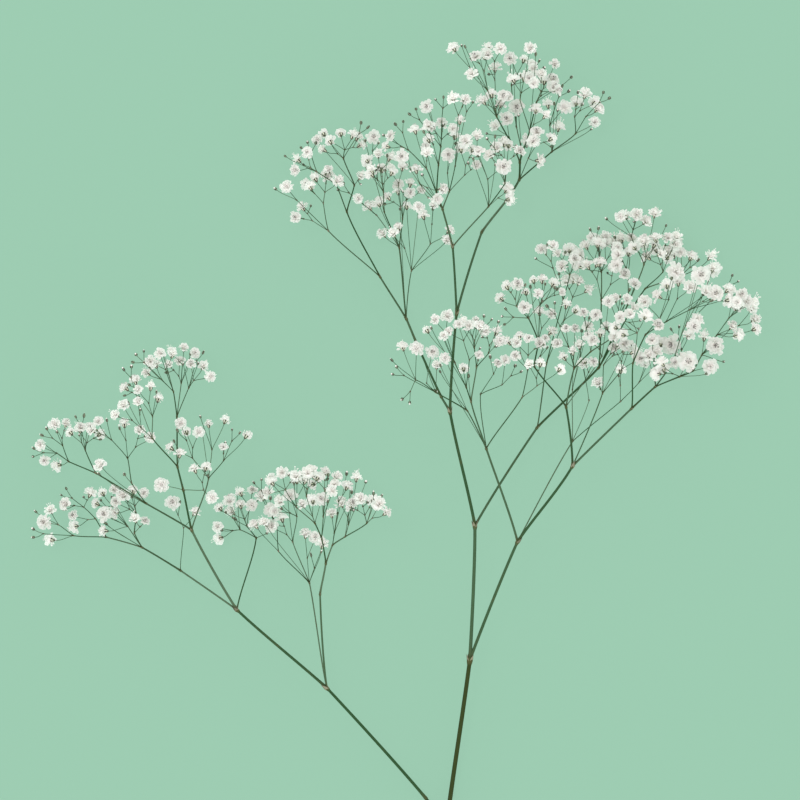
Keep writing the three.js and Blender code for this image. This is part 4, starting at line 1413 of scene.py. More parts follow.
    def bud(self) -> bpy.types.Mesh:
        """A closed bud: a dark calyx with the folded petals at its tip.

        Returns:
            The mesh, centred on the tip.
        """
        shares, widths = spans(*self.bud_rings)
        heights = (shares - 0.5) * self.bud_length
        bud = self._upright(heights, widths * self.bud_radius, self.bud_sides)
        self._tint(bud, points_of(bud)[:, 2] / self.bud_length + 0.5)
        return bud

    @staticmethod
    def _upright(heights: np.ndarray, radii: np.ndarray, sides: int) -> bpy.types.Mesh:
        """A tube round the axis, with the height and the radius of each ring."""
        path = np.column_stack((np.zeros((len(heights), 2)), heights))
        return Tube.along(path, radii, sides, side=SIDEWAYS)

    @staticmethod
    def _tint(shape: bpy.types.Mesh, share: np.ndarray) -> None:
        """Fills the Tone of a calyx or bud, whose drawn numbers each copy gets anew."""
        set_tone(shape, 0.5, 0.3, share, 0.5)


class Gathering:
    """Gathers placed copies of small shapes in one mesh."""

    def __init__(self) -> None:
        """Starts empty."""
        self.content = bmesh.new()

    def add(self, shape: bpy.types.Mesh, placed: Matrix | None = None, keep: bool = False) -> None:
        """Adds a shape.

        Args:
            shape: The shape, which is used up unless it is kept.
            placed: Where it goes.
            keep: Whether the shape is needed again.
        """
        part = shape.copy() if keep else shape
        if placed is not None:
            part.transform(placed)
        self.content.from_mesh(part)
        bpy.data.meshes.remove(part)

    def mesh(self, name: str) -> bpy.types.Mesh:
        """All that was gathered, as one mesh.

        Args:
            name: Name of the mesh.

        Returns:
            The mesh.
        """
        mesh = bpy.data.meshes.new(name)
        self.content.to_mesh(mesh)
        self.content.free()
        return mesh


# ---- Twigs ----
# How far wide flowers lean with their stalk, and other tips to the crown.
ROSETTE_LEAN = 0.3
CROWN_PULL = 0.25


def facing(tip: Node) -> np.ndarray:
    """Where a flower or bud faces: on along its stalk, a little to the crown, and up by its share.

    Args:
        tip: The flower or bud.

    Returns:
        The direction, at length one.
    """
    along = unit(tip.place - tip.before.place)
    if tip.kind is Kind.ROSETTE:
        return unit(ROSETTE_LEAN * along + UPWARDS)
    return unit(along + CROWN_PULL * AHEAD + tip.lift * UPWARDS)


def heaviest(node: Node) -> Node:
    """The shoot that carries on the line of a joint."""
    return max(node.shoots, key=lambda shoot: shoot.load)


@dataclass
class Twigs:
    """Builds round, slightly bowed stems with swollen joints, and the papery bracts at them."""

    draws: Draws

    # The curve of a twig, and how far it leans to the twig that it comes from or goes on in.
    bow: float = 0.28
    carry_on: float = 0.20
    branch_off: float = 0.12
    straight: float = 0.05
    curve_points: int = 33
    bud_depth: float = 1.45

    # Its thickness: the layout's diameters, and how much stouter the round twigs are.
    layout_diameters: tuple[float, ...] = (0.52, 0.56, 0.65, 1.0, 1.7)
    stouter_by: tuple[float, ...] = (0.72, 0.95, 1.28, 1.28, 1.04)
    taper: float = 0.10
    flare: float = 0.22
    flare_run: tuple[float, float] = (2.4, 0.8)
    tint_run: tuple[float, float] = (3.0, 1.0)

    # Its rings, and the corners of a ring from thin to stout.
    ring_spacing: float = 4.5
    extra_rings: int = 3
    fewest_rings: int = 4
    most_rings: int = 16
    least_run: float = 0.6
    corner_limits: tuple[float, ...] = (0.8, 1.2)
    corners: tuple[int, ...] = (5, 6, 12)

    # The swollen joint: place along the twig, radius and nearness to the joint of each ring.
    swelling: float = 1.38
    joint_start: float = 2.6
    joint_rings: tuple[tuple[float, float, float], ...] = (
        (-1.35, 0.84, 0.5), (-0.55, 1.0, 1.0), (0.15, 1.0, 1.0), (0.75, 0.74, 1.0), (1.1, 0.15, 1.0)
    )

    # The bracts: their number, the step between two as a share of half a turn, and their length.
    bract_step: tuple[int, float] = (2, 1.0)
    joint_bract_step: tuple[int, float] = (3, 0.62)
    first_bract: float = 0.1
    bract_turn: float = 0.15
    bract_length: float = 0.9
    bract_growth: float = 1.05
    joint_bract_length: float = 4.6
    bract_spread: tuple[float, float] = (0.75, 1.1)

    # The shape of a bract: share of the length, lean and width of each ring.
    bract_rings: tuple[tuple[float, float, float], ...] = (
        (0.0, 0.35, 0.75), (0.2, 0.78, 1.0), (0.5, 1.0, 0.8), (0.8, 1.25, 0.4), (1.0, 1.6, 0.06)
    )
    bract_corners: int = 6
    flatness: float = 0.22
    sunk: float = 0.25
    broadest: float = 0.6
    breadth_growth: float = 1.7
    least_breadth: float = 0.15

    def drawn_diameter(self, node: Node) -> float:
        """The diameter of the round twig: stalks are finer than in the layout, twigs stouter."""
        factor = float(np.interp(node.diameter, self.layout_diameters, self.stouter_by))
        return node.diameter * factor

    @staticmethod
    def stoutness(node: Node) -> float:
        """The diameter as a share of the main stem's."""
        return min(node.diameter / STEM_DIAMETER, 1.0)

    @staticmethod
    def fading(places: np.ndarray, radius: float, run: tuple[float, float]) -> np.ndarray:
        """From 1 at the start of a twig to 0, over a number of radii and of millimetres more."""
        return np.exp(-((places / (run[0] * radius + run[1])) ** 2))

    def direction(self, node: Node) -> np.ndarray:
        """The straight way from a node's joint to the node."""
        return unit(node.place - node.before.place)

    def path(self, node: Node) -> tuple[np.ndarray, np.ndarray]:
        """The middle line of the twig that ends in a node, as a fine curve.

        Args:
            node: The node.

        Returns:
            Points along the curve, and the direction at its end.
        """
        parent, along = node.before, self.direction(node)
        leave = along
        if parent.before is not None:
            weight = self.branch_off
            if node is heaviest(parent):
                weight = 1.0 if parent.kind is Kind.BEND else self.carry_on
            leave = unit(along + weight * self.direction(parent))
        end = node.place
        if node.is_tip:
            arrive = facing(node)
            depth = self.bud_depth if node.kind is Kind.BUD else CALYX_DEPTH
            end = node.place - depth * arrive
        else:
            weight = 1.0 if node.kind is Kind.BEND else self.carry_on
            arrive = unit(along + weight * self.direction(heaviest(node)))
        start = parent.place
        handle = self.bow * float(np.linalg.norm(end - start))
        share = np.linspace(0.0, 1.0, self.curve_points)[:, None]
        rest = 1.0 - share
        curve = (
            rest**3 * start
            + 3.0 * rest**2 * share * (start + handle * leave)
            + 3.0 * rest * share**2 * (end - handle * arrive)
            + share**3 * end
        )
        return curve, arrive

    def twig(self, node: Node) -> bpy.types.Mesh:
        """The twig that ends in a node, with the swollen joint at its end.

        Args:
            node: The node.

        Returns:
            The mesh.
        """
        curve, arrive = self.path(node)
        steps = np.linalg.norm(np.diff(curve, axis=0), axis=1)
        length = np.concatenate(([0.0], np.cumsum(steps)))
        radius = 0.5 * self.drawn_diameter(node)
        has_joint = not node.is_tip and node.kind is not Kind.BEND
        count = round(length[-1] / self.ring_spacing) + self.extra_rings
        count = int(min(max(count, self.fewest_rings), self.most_rings))
        stop = length[-1] - (self.joint_start * radius if has_joint else 0.0)
        places = np.linspace(0.0, max(stop, self.least_run * length[-1]), count)
        sizes = radius * (1.0 + self.taper * (0.5 - places / length[-1]))
        sizes *= 1.0 + self.flare * self.fading(places, radius, self.flare_run)
        nearness = self.fading(places, radius, self.tint_run)
        if has_joint:
            knob = self.swelling * radius
            offsets, widths, near = spans(*self.joint_rings)
            places = np.append(places, length[-1] + offsets * knob)
            sizes, nearness = np.append(sizes, widths * knob), np.append(nearness, near)
        path = np.column_stack([np.interp(places, length, curve[:, axis]) for axis in range(3)])
        path += np.maximum(places - length[-1], 0.0)[:, None] * arrive
        sides = self.corners[np.searchsorted(self.corner_limits, node.diameter, side="right")]
        twig = Tube.along(path, sizes, sides)
        rings = Tube.rings(sides, len(places))
        drawn, stoutness = self.draws.next(), self.stoutness(node)
        set_tone(twig, drawn, stoutness, nearness[rings], self.draws.next())
        return twig

    def bracts(self, node: Node) -> list[bpy.types.Mesh]:
        """The pointed papery scales at a joint, on both sides of its heaviest shoot.

        Args:
            node: The joint.

        Returns:
            One mesh for each scale.
        """
        along = unit(self.direction(node) + self.direction(heaviest(node)))
        lightest = min(node.shoots, key=lambda shoot: shoot.load)
        spread = np.cross(along, self.direction(lightest))
        if float(np.linalg.norm(spread)) < self.straight:
            spread = np.cross(along, UPWARDS)
        base = unit(spread)
        count, step = self.bract_step
        longest = self.bract_length + self.bract_growth * node.diameter
        if node.kind is Kind.LIMB:
            (count, step), longest = self.joint_bract_step, self.joint_bract_length
        scales = []
        for order in range(count):
            shift = self.draws.between(-self.bract_turn, self.bract_turn)
            turn = math.pi * (order * step + shift + self.first_bract)
            across = math.cos(turn) * base + math.sin(turn) * np.cross(along, base)
            length = longest * self.draws.between(*self.bract_spread)
            scales.append(self._scale(node, along, unit(across), length))
        return scales

    def _scale(
        self,
        node: Node,
        along: np.ndarray,
        across: np.ndarray,
        length: float,
    ) -> bpy.types.Mesh:
        """One papery scale, broad at its foot, that ends in a point which leans out.

        Args:
            node: The joint that it stands at.
            along: The direction of the stem.
            across: The side of the stem that it stands on.
            length: Its length.

        Returns:
            The mesh.
        """
        shares, leans, widths = spans(*self.bract_rings)
        lean = leans * 0.5 * self.swelling * node.diameter
        foot = node.place - self.sunk * length * along
        path = foot + shares[:, None] * length * along + lean[:, None] * across
        breadth = self.breadth_growth * node.diameter + self.least_breadth
        radii = 0.5 * min(self.broadest * length, breadth) * widths
        side = np.cross(along, across)
        scale = Tube.along(path, radii, self.bract_corners, self.flatness, side)
        rings = Tube.rings(self.bract_corners, len(path))
        drawn, stoutness = self.draws.next(), self.stoutness(node)
        set_tone(scale, drawn, stoutness, shares[rings], self.draws.next())
        set_slot(scale, 1)
        return scale


# ---- Shader maths ----
# Red, green and blue, from 0 to 255.
Colour = tuple[int, int, int]


def shade(colour: Colour) -> tuple[float, ...]:
    """A colour of 0 to 255 a channel as linear light, with an alpha of 1.

    Args:
        colour: Its red, green and blue.

    Returns:
        Four numbers between 0 and 1.
    """
    values = [channel / 255.0 for channel in colour]
    linear = [
        value / 12.92 if value <= 0.04045 else ((value + 0.055) / 1.055) ** 2.4 for value in values
    ]
    return (*linear, 1.0)


class Socket:
    """A value of a shader that Python's operators turn into Math nodes."""

    def __init__(self, shader: "Shader", source: bpy.types.NodeSocket) -> None:
        """Wraps an output socket."""
        self.shader = shader
        self.source = source

    def _math(self, operation: str, *values: "Socket | float") -> "Socket":
        """A Math node on some values."""
        return self.shader.node("ShaderNodeMath", {"operation": operation}, dict(enumerate(values)))

    def __add__(self, other: "Socket | float") -> "Socket":
        """Sum."""
        return self._math("ADD", self, other)

    __radd__ = __add__

    def __sub__(self, other: "Socket | float") -> "Socket":
        """Difference."""
        return self._math("SUBTRACT", self, other)

    def __rsub__(self, other: float) -> "Socket":
        """Difference from a number."""
        return self._math("SUBTRACT", other, self)

    def __mul__(self, other: "Socket | float") -> "Socket":
        """Product."""
        return self._math("MULTIPLY", self, other)

    __rmul__ = __mul__

    def __pow__(self, other: "Socket | float") -> "Socket":
        """Power."""
        return self._math("POWER", self, other)

    def clamped(self) -> "Socket":
        """The value, kept between 0 and 1."""
        return self.shader.node("ShaderNodeClamp", {}, {"Value": self})

    def cosine(self) -> "Socket":
        """The cosine of the value."""
        return self._math("COSINE", self)

    def beside(self, other: "Socket") -> "Socket":
        """The angle of the point whose coordinates are `other` and this."""
        return self._math("ARCTAN2", self, other)


class Shader:
    """The node tree of one material."""

    def __init__(self, name: str) -> None:
        """Starts a material with no nodes.

        Args:
            name: Its name.
        """
        self.material = bpy.data.materials.new(name)
        self.material.use_nodes = True
        self.tree = self.material.node_tree
        self.tree.nodes.clear()

    def node(
        self,
        kind: str,
        settings: dict[str, object] | None = None,
        inputs: dict[int | str, object] | None = None,
        output: int | str = 0,
    ) -> Socket:
        """Adds a node.

        Args:
            kind: Type of the node.
            settings: Its settings.
            inputs: Values or links of its sockets, by number or name.
            output: The output that is wanted.

        Returns:
            That output.
        """
        made = self.tree.nodes.new(kind)
        for key, value in (settings or {}).items():
            setattr(made, key, value)
        for key, value in (inputs or {}).items():
            if isinstance(value, Socket):
                self.tree.links.new(value.source, made.inputs[key])
            else:
                made.inputs[key].default_value = value
        return Socket(self, made.outputs[output] if len(made.outputs) else None)

    def tone(self) -> tuple[Socket, Socket, Socket, Socket]:
        """Reads the Tone of the surface.

        Returns:
            Its four numbers.
        """
        settings = {"attribute_name": TONE}
        colour = self.node("ShaderNodeAttribute", settings, output="Color")
        other = self.node("ShaderNodeAttribute", settings, output="Alpha")
        parts = [self.node("ShaderNodeSeparateColor", {}, {0: colour}, part) for part in range(3)]
        return parts[0], parts[1], parts[2], other

    def grain(self) -> Socket:
        """The coordinates that follow the surface."""
        return self.node("ShaderNodeAttribute", {"attribute_name": GRAIN}, output="Vector")

    def parts(self, vector: Socket) -> tuple[Socket, Socket, Socket]:
        """The three numbers of a vector."""
        return tuple(self.node("ShaderNodeSeparateXYZ", {}, {0: vector}, part) for part in range(3))

    def scaled(self, vector: Socket, scale: Sequence[float]) -> Socket:
        """A vector, stretched along its axes."""
        settings = {"operation": "MULTIPLY"}
        return self.node("ShaderNodeVectorMath", settings, {0: vector, 1: tuple(scale)})

    def noise(self, vector: Socket, scale: float, detail: float = 3.0) -> Socket:
        """Noise between 0 and 1."""
        inputs = {"Vector": vector, "Scale": scale, "Detail": detail, "Roughness": 0.6}
        return self.node("ShaderNodeTexNoise", {}, inputs, "Fac")

    def mix(self, factor: Socket, one: Socket | Colour, other: Socket | Colour) -> Socket:
        """A mix of two colours.

        Args:
            factor: The share of the second colour.
            one: The first colour.
            other: The second colour.

        Returns:
            The mixed colour.
        """
        inputs = {6: one, 7: other}
        for key, colour in inputs.items():
            inputs[key] = colour if isinstance(colour, Socket) else shade(colour)
        return self.node("ShaderNodeMix", {"data_type": "RGBA"}, {0: factor, **inputs}, 2)

    def span(self, factor: Socket, low: float, high: float) -> Socket:
        """A value that goes from `low` to `high` by a factor."""
        return factor * (high - low) + low

    def ribs(self, grain: Socket) -> Socket:
        """Five ribs round an axis, from 0 between them to 1."""
        around, beside, _ = self.parts(grain)
        return (beside.beside(around) * 5.0).cosine() * 0.5 + 0.5

    def bump(self, height: Socket, distance: float, strength: float) -> Socket:
        """A surface direction from a height; the distance is in metres."""
        inputs = {"Strength": strength, "Distance": distance, "Height": height}
        return self.node("ShaderNodeBump", {}, inputs)

    def finish(self, translucency: float = 0.0, **inputs: object) -> bpy.types.Material:
        """Ends the material in a Principled shader.

        Args:
            translucency: Share of the light that shines through a thin surface.
            **inputs: Values or links of its sockets, with _ for each space.

        Returns:
            The material.
        """
        named = {key.replace("_", " "): value for key, value in inputs.items()}
        surface = self.node("ShaderNodeBsdfPrincipled", {}, named)
        if translucency:
            behind = self.node("ShaderNodeBsdfTranslucent", {}, {"Color": inputs["Base_Color"]})
            surface = self.node("ShaderNodeMixShader", {}, {0: translucency, 1: surface, 2: behind})
        self.node("ShaderNodeOutputMaterial", {}, {"Surface": surface})
        return self.material


# ---- Finishes ----
@dataclass(frozen=True)
class StemFinish:
    """Green, finely streaked stems, more olive where stout and browner at the joints."""

    thin: Colour = (31, 71, 36)
    stout: Colour = (40, 50, 2)
    grey: Colour = (96, 118, 94)
    joint: Colour = (80, 80, 46)
    dark: Colour = (20, 36, 10)
    roughness: tuple[float, float] = (0.46, 0.66)
    relief: tuple[float, float] = (0.00012, 0.6)
    gloss: float = 0.16

    def material(self) -> bpy.types.Material:
        """Builds the material.

        Returns:
            The material.
        """
        shader = Shader("stem_finish")
        drawn, stoutness, nearness, other = shader.tone()
        grain = shader.grain()
        streaks = shader.noise(shader.scaled(grain, (2.2, 2.2, 0.10)), 1.6)
        blotches = shader.noise(shader.scaled(grain, (0.4, 0.4, 0.22)), 1.0, 2.0)
        colour = shader.mix(((stoutness - 0.66) * 5.0).clamped(), self.thin, self.stout)
        greyness = (drawn * drawn * 0.72 * (stoutness * -1.0 + 1.25)).clamped()
        colour = shader.mix(greyness, colour, self.grey)
        colour = shader.mix(((blotches - 0.45) * 1.6 * other).clamped(), colour, self.joint)
        colour = shader.mix((nearness * 0.7 + streaks * 0.1).clamped(), colour, self.joint)
        colour = shader.mix(((streaks - 0.42) * 1.3).clamped(), colour, self.dark)
        return shader.finish(
            Base_Color=colour,
            Roughness=shader.span(streaks, *self.roughness),
            Specular_IOR_Level=self.gloss,
            Normal=shader.bump(streaks, *self.relief),
        )


@dataclass(frozen=True)
class BractFinish:
    """Dry, papery scales: dull straw with brown veins and tips."""

    pale: Colour = (130, 128, 104)
    brown: Colour = (64, 62, 40)
    roughness: tuple[float, float] = (0.55, 0.80)
    relief: tuple[float, float] = (0.0001, 0.7)

    def material(self) -> bpy.types.Material:
        """Builds the material.

        Returns:
            The material.
        """
        shader = Shader("bract_finish")
        drawn, stoutness, share, _ = shader.tone()
        fibres = shader.noise(shader.scaled(shader.grain(), (3.0, 3.0, 0.3)), 1.5)
        brownness = share * 0.5 + drawn * 0.7 + (fibres - 0.5) * 1.2 - stoutness * 0.6 + 0.15
        return shader.finish(
            Base_Color=shader.mix(brownness.clamped(), self.pale, self.brown),
            Roughness=shader.span(fibres, *self.roughness),
            Normal=shader.bump(fibres, *self.relief),
        )


@dataclass(frozen=True)
class PetalFinish:
    """Thin white petals with fine veins, faintly pink in places and creamy at the foot. Heads that
    face up get a greyer white, painted shade for the stronger light on them.
    """

    white: Colour = (253, 252, 249)
    # A greyer white: painted shade for heads that face up into the stronger light.
    cream: Colour = (240, 239, 235)
    blush: Colour = (250, 244, 245)
    foot: Colour = (238, 233, 227)
    roughness: tuple[float, float] = (0.55, 0.75)
    relief: tuple[float, float] = (0.00008, 0.5)
    translucency: float = 0.5

    def material(self) -> bpy.types.Material:
        """Builds the material.

        Returns:
            The material.
        """
        shader = Shader("petal_finish")
        drawn, creaminess, share, other = shader.tone()
        across, _, _ = shader.parts(shader.grain())
        veins = (across * 15.0 + other * 6.0).cosine() * 0.5 + 0.5
        crumple = shader.noise(shader.scaled(shader.grain(), (1.0, 2.0, 7.0)), 2.4)
        # Painted shade: wide heads, which face up, are greyed fully, open heads partly, fans not at
        # all.
        colour = shader.mix(creaminess, self.white, self.cream)
        colour = shader.mix((drawn * drawn * 0.5).clamped(), colour, self.blush)
        colour = shader.mix((veins * 0.10 * (1.2 - share)).clamped(), colour, self.blush)
        colour = shader.mix(((1.0 - share) ** 3.0 * 0.8).clamped(), colour, self.foot)
        return shader.finish(
            translucency=self.translucency,
            Base_Color=colour,
            Roughness=shader.span(crumple, *self.roughness),
            Normal=shader.bump(veins * 0.4 + crumple, *self.relief),
        )


@dataclass(frozen=True)
class StamenFinish:
    """Pale threads that end in dark anthers."""

    thread: Colour = (244, 244, 238)
    anther: Colour = (66, 56, 54)
    roughness: tuple[float, float] = (0.5, 0.8)
    relief: tuple[float, float] = (0.00006, 0.6)

    def material(self) -> bpy.types.Material:
        """Builds the material.

        Returns:
            The material.
        """
        shader = Shader("stamen_finish")
        drawn, _, share, _ = shader.tone()
        grains = shader.noise(shader.grain(), 6.0)
        colour = shader.mix(share, self.thread, self.anther)
        return shader.finish(
            Base_Color=shader.mix((grains * 0.4 * drawn).clamped(), colour, self.thread),
            Roughness=shader.span(grains, *self.roughness),
            Normal=shader.bump(grains, *self.relief),
        )


@dataclass(frozen=True)
class CalyxFinish:
    """A green cup with five dark purple-brown ribs and pale, thin edges."""

    green: Colour = (204, 208, 184)
    rib: Colour = (22, 16, 16)
    foot: Colour = (84, 92, 56)
    edge: Colour = (222, 212, 208)
    roughness: tuple[float, float] = (0.45, 0.65)
    relief: tuple[float, float] = (0.0001, 0.6)

    def material(self) -> bpy.types.Material:
        """Builds the material.

        Returns:
            The material.
        """
        shader = Shader("calyx_finish")
        drawn, _, share, _ = shader.tone()
        grain = shader.grain()
        ribs = shader.ribs(grain)
        mottle = shader.noise(grain, 4.0)
        colour = shader.mix(((0.42 - share) * 3.0).clamped(), self.green, self.foot)
        darkness = (ribs * 4.0 + mottle * 0.6 + drawn * 0.5 - 2.0).clamped()
        colour = shader.mix(darkness, colour, self.rib)
        paleness = ((share - 0.92) * 6.0).clamped()
        return shader.finish(
            Base_Color=shader.mix(paleness, colour, self.edge),
            Roughness=shader.span(mottle, *self.roughness),
            Normal=shader.bump(ribs * 0.5 + mottle * 0.5, *self.relief),
        )


@dataclass(frozen=True)
class BudFinish:
    """Dark calyx with greenish patches, and the white fold of the petals at the tip."""

    dark: Colour = (24, 28, 20)
    green: Colour = (134, 146, 116)
    white: Colour = (232, 224, 220)
    roughness: tuple[float, float] = (0.45, 0.65)
    relief: tuple[float, float] = (0.0001, 0.6)

    def material(self) -> bpy.types.Material:
        """Builds the material.

        Returns:
            The material.
        """
        shader = Shader("bud_finish")
        drawn, _, share, other = shader.tone()
        ribs = shader.ribs(shader.grain())
        mottle = shader.noise(shader.scaled(shader.grain(), (1.4, 1.4, 0.5)), 2.2)
        greenness = (mottle * 0.8 + 0.75 + drawn * 0.4 - ribs * 2.8).clamped()
        colour = shader.mix(greenness, self.dark, self.green)
        paleness = ((share - 0.72 - other * 0.22 + mottle * 0.08) * 9.0).clamped()
        return shader.finish(
            Base_Color=shader.mix(paleness, colour, self.white),
            Roughness=shader.span(mottle, *self.roughness),
            Normal=shader.bump(mottle, *self.relief),
        )


@dataclass(frozen=True)
class FloorFinish:
    """A matt mint green sheet that is lit evenly from behind, as a light table is."""

    mint: Colour = (68, 92, 78)
    deeper: Colour = (66, 90, 76)
    glow: Colour = (158, 203, 178)
    glow_strength: float = 0.755
    roughness: tuple[float, float] = (0.90, 0.95)

    def material(self) -> bpy.types.Material:
        """Builds the material.

        Returns:
            The material.
        """
        shader = Shader("floor_finish")
        where = shader.node("ShaderNodeTexCoord", {}, {}, "Object")
        clouds = shader.noise(where, 2.0)
        return shader.finish(
            Base_Color=shader.mix(clouds, self.mint, self.deeper),
            Roughness=shader.span(clouds, *self.roughness),
            Specular_IOR_Level=0.0,
            Emission_Color=shade(self.glow),
            Emission_Strength=self.glow_strength,
        )


@dataclass
class Finishes:
    """The materials of the plant, in the order of each piece's slots."""

    stems: list[bpy.types.Material]
    flowers: list[bpy.types.Material]


# ---- Pieces ----
@dataclass
class Piece:
    """One object of the model, gathered in the plant's frame and put in the frame of the row."""

    name: str
    slot: str
    node: str
    materials: list[bpy.types.Material]

    def __post_init__(self) -> None:
        """Starts empty."""
        self.parts = Gathering()

    def close(self) -> bpy.types.Object:
        """Makes the object, which rides on the root and stands for its CAD node.

        Returns:
            The object.
        """
        mesh = self.parts.mesh(self.name)
        points = (points_of(mesh) + np.array(ROW_OFFSET)) * METRES
        low = np.array(CAD_LOW) + BOX_MARGIN * METRES * UPWARDS
        move_points(mesh, np.clip(points, low, np.array(CAD_HIGH)))
        for material in self.materials:
            mesh.materials.append(material)
        piece = linked(self.name, mesh)
        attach(piece, "root")
        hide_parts(self.node)
        log.info("%s: %d faces, stands for %s", self.name, len(mesh.polygons), self.node)
        return piece


@dataclass
class Blooms:
    """The flower heads, calyx and bud that are placed on the tips.

    A head of `nominal_radius` keeps the size that it is built with. Slots 2 and 3 of the twigs hold
    the finishes of calyces and buds.
    """

    seed: int = 7
    nominal_radius: float = 3.65
    head_size: tuple[float, float] = (0.9, 1.16)
    bud_width: tuple[float, float] = (0.7, 1.12)
    bud_length: tuple[float, float] = (0.75, 1.1)
    calyx_slot: int = 2
    bud_slot: int = 3
    facing_up: float = 0.62
    wide_share: float = 0.5
    open_share: float = 0.6
    settling_rounds: int = 3

    def __post_init__(self) -> None:
        """Builds the shapes."""
        maker = Flower()
        self.heads = {
            opening: maker.heads(opening, self.seed + order)
            for order, opening in enumerate(Opening)
        }
        self.calyx = maker.calyx()
        self.bud = maker.bud()

    @staticmethod
    def frame(tip: Node, roll: float) -> Matrix:
        """Where a flower or bud goes: its axis along the way it faces.

        Args:
            tip: The flower or bud.
            roll: Its turn about the axis.

        Returns:
            The placing matrix.
        """
        turned = Vector(facing(tip)).to_track_quat("Z", "Y").to_matrix().to_4x4()
        return Matrix.Translation(Vector(tip.place)) @ turned @ Matrix.Rotation(roll, 4, "Z")

    def opening(self, tip: Node, draws: Draws) -> Opening:
        """How far a flower has opened.

        Args:
            tip: The flower.
            draws: The series of numbers that decides it.

        Returns:
            The opening: never a fan where it faces up.
        """
        share = draws.next()
        if tip.kind is Kind.ROSETTE:
            return Opening.WIDE
        if float(facing(tip)[2]) > self.facing_up:
            return Opening.WIDE if share < self.wide_share else Opening.OPEN
        return Opening.OPEN if share < self.open_share else Opening.FAN

    @staticmethod
    def _copy(shape: bpy.types.Mesh, slot: int, draws: Draws) -> bpy.types.Mesh:
        """A copy of a calyx or bud with drawn numbers of its own.

        Args:
            shape: The calyx or bud.
            slot: The slot of its material.
            draws: The series of numbers.

        Returns:
            The copy.
        """
        copied = shape.copy()
        tone = read_tone(copied)
        tone[:, 0], tone[:, 3] = draws.next(), draws.next()
        write_attribute(copied, TONE, tone)
        set_slot(copied, slot)
        return copied

    def _keep_inside(self, tip: Node, shape: bpy.types.Mesh, roll: float, size: Matrix) -> Matrix:
        """Moves a tip so that its bud or flower stays in the box of the CAD.

        Args:
            tip: The tip.
            shape: Its bud or flower head.
            roll: The turn of the shape about its axis.
            size: The size of the shape.

        Returns:
            Where the shape goes.
        """
        low = np.array(CAD_LOW) / METRES - np.array(ROW_OFFSET) + BOX_MARGIN
        high = np.array(CAD_HIGH) / METRES - np.array(ROW_OFFSET) - BOX_MARGIN
        for _ in range(self.settling_rounds):
            turned = np.array(self.frame(tip, roll) @ size)
            points = points_of(shape) @ turned[:3, :3].T + turned[:3, 3]
            tip.place = tip.place + np.maximum(low - points.min(axis=0), 0.0)
            tip.place = tip.place + np.minimum(high - points.max(axis=0), 0.0)
        return self.frame(tip, roll) @ size

    def place(self, tip: Node, stems: Piece, flowers: Piece, draws: Draws) -> None:
        """Puts a flower or bud on its tip.

        Args:
            tip: The tip, which moves if its flower would leave the box of the CAD.
            stems: The piece that takes buds and calyces.
            flowers: The piece that takes flower heads.
            draws: The series of numbers that decides how they differ.
        """
        roll = draws.between(0.0, 2.0 * math.pi)
        if tip.kind is Kind.BUD:
            width, length = draws.between(*self.bud_width), draws.between(*self.bud_length)
            bud = self._copy(self.bud, self.bud_slot, draws)
            size = Matrix.Diagonal((width, width, length, 1.0))
            stems.parts.add(bud, self._keep_inside(tip, self.bud, roll, size))
            return
        heads = self.heads[self.opening(tip, draws)]
        head = heads[int(draws.next() * len(heads))]
        scale = tip.radius / self.nominal_radius * draws.between(*self.head_size)
        placed = self._keep_inside(tip, head, roll, Matrix.Scale(scale, 4))
        flowers.parts.add(head, placed, keep=True)
        stems.parts.add(self._copy(self.calyx, self.calyx_slot, draws), self.frame(tip, roll))


def on_stem(node: Node) -> list[Node]:
    """All joints and bends of the main stem, from the first on."""
    stems = [child for child in node.children if child.kind is not Kind.SPRAY]
    return [node, *(found for child in stems for found in on_stem(child))]


def build_spray(band: Node, blooms: Blooms, finishes: Finishes) -> None:
    """Builds the twigs and the flowers of one spray.

    Args:
        band: The spray's entry in the layout.
        blooms: The shapes for its tips.
        finishes: The materials.
    """
    name = band.name.removeprefix("spray_")
    stems = Piece(f"{name}_twigs", "stem", band.name, finishes.stems)
    flowers = Piece(f"{name}_flowers", "petal", band.name, finishes.flowers)
    draws = Draws(1000 + 37 * band.number)
    twigs = Twigs(draws)
    for node in on_spray(band.children[0]):
        if node.is_tip:
            blooms.place(node, stems, flowers, draws)
        else:
            for scale in twigs.bracts(node):
                stems.parts.add(scale)
        stems.parts.add(twigs.twig(node))
    stems.close()
    flowers.close()


def build_main_stem(layout: Node, finishes: Finishes) -> None:
    """Builds the main stem with its joints and bracts.

    Args:
        layout: The first joint of the main stem.
        finishes: The materials.
    """
    stem = Piece("main_stem_skin", "stem", "main_stem", finishes.stems)
    twigs = Twigs(Draws(17570), ring_spacing=5.0, most_rings=28)
    for node in on_stem(layout):
        stem.parts.add(twigs.twig(node))
        if node.kind is Kind.LIMB:
            for scale in twigs.bracts(node):
                stem.parts.add(scale)
    stem.close()


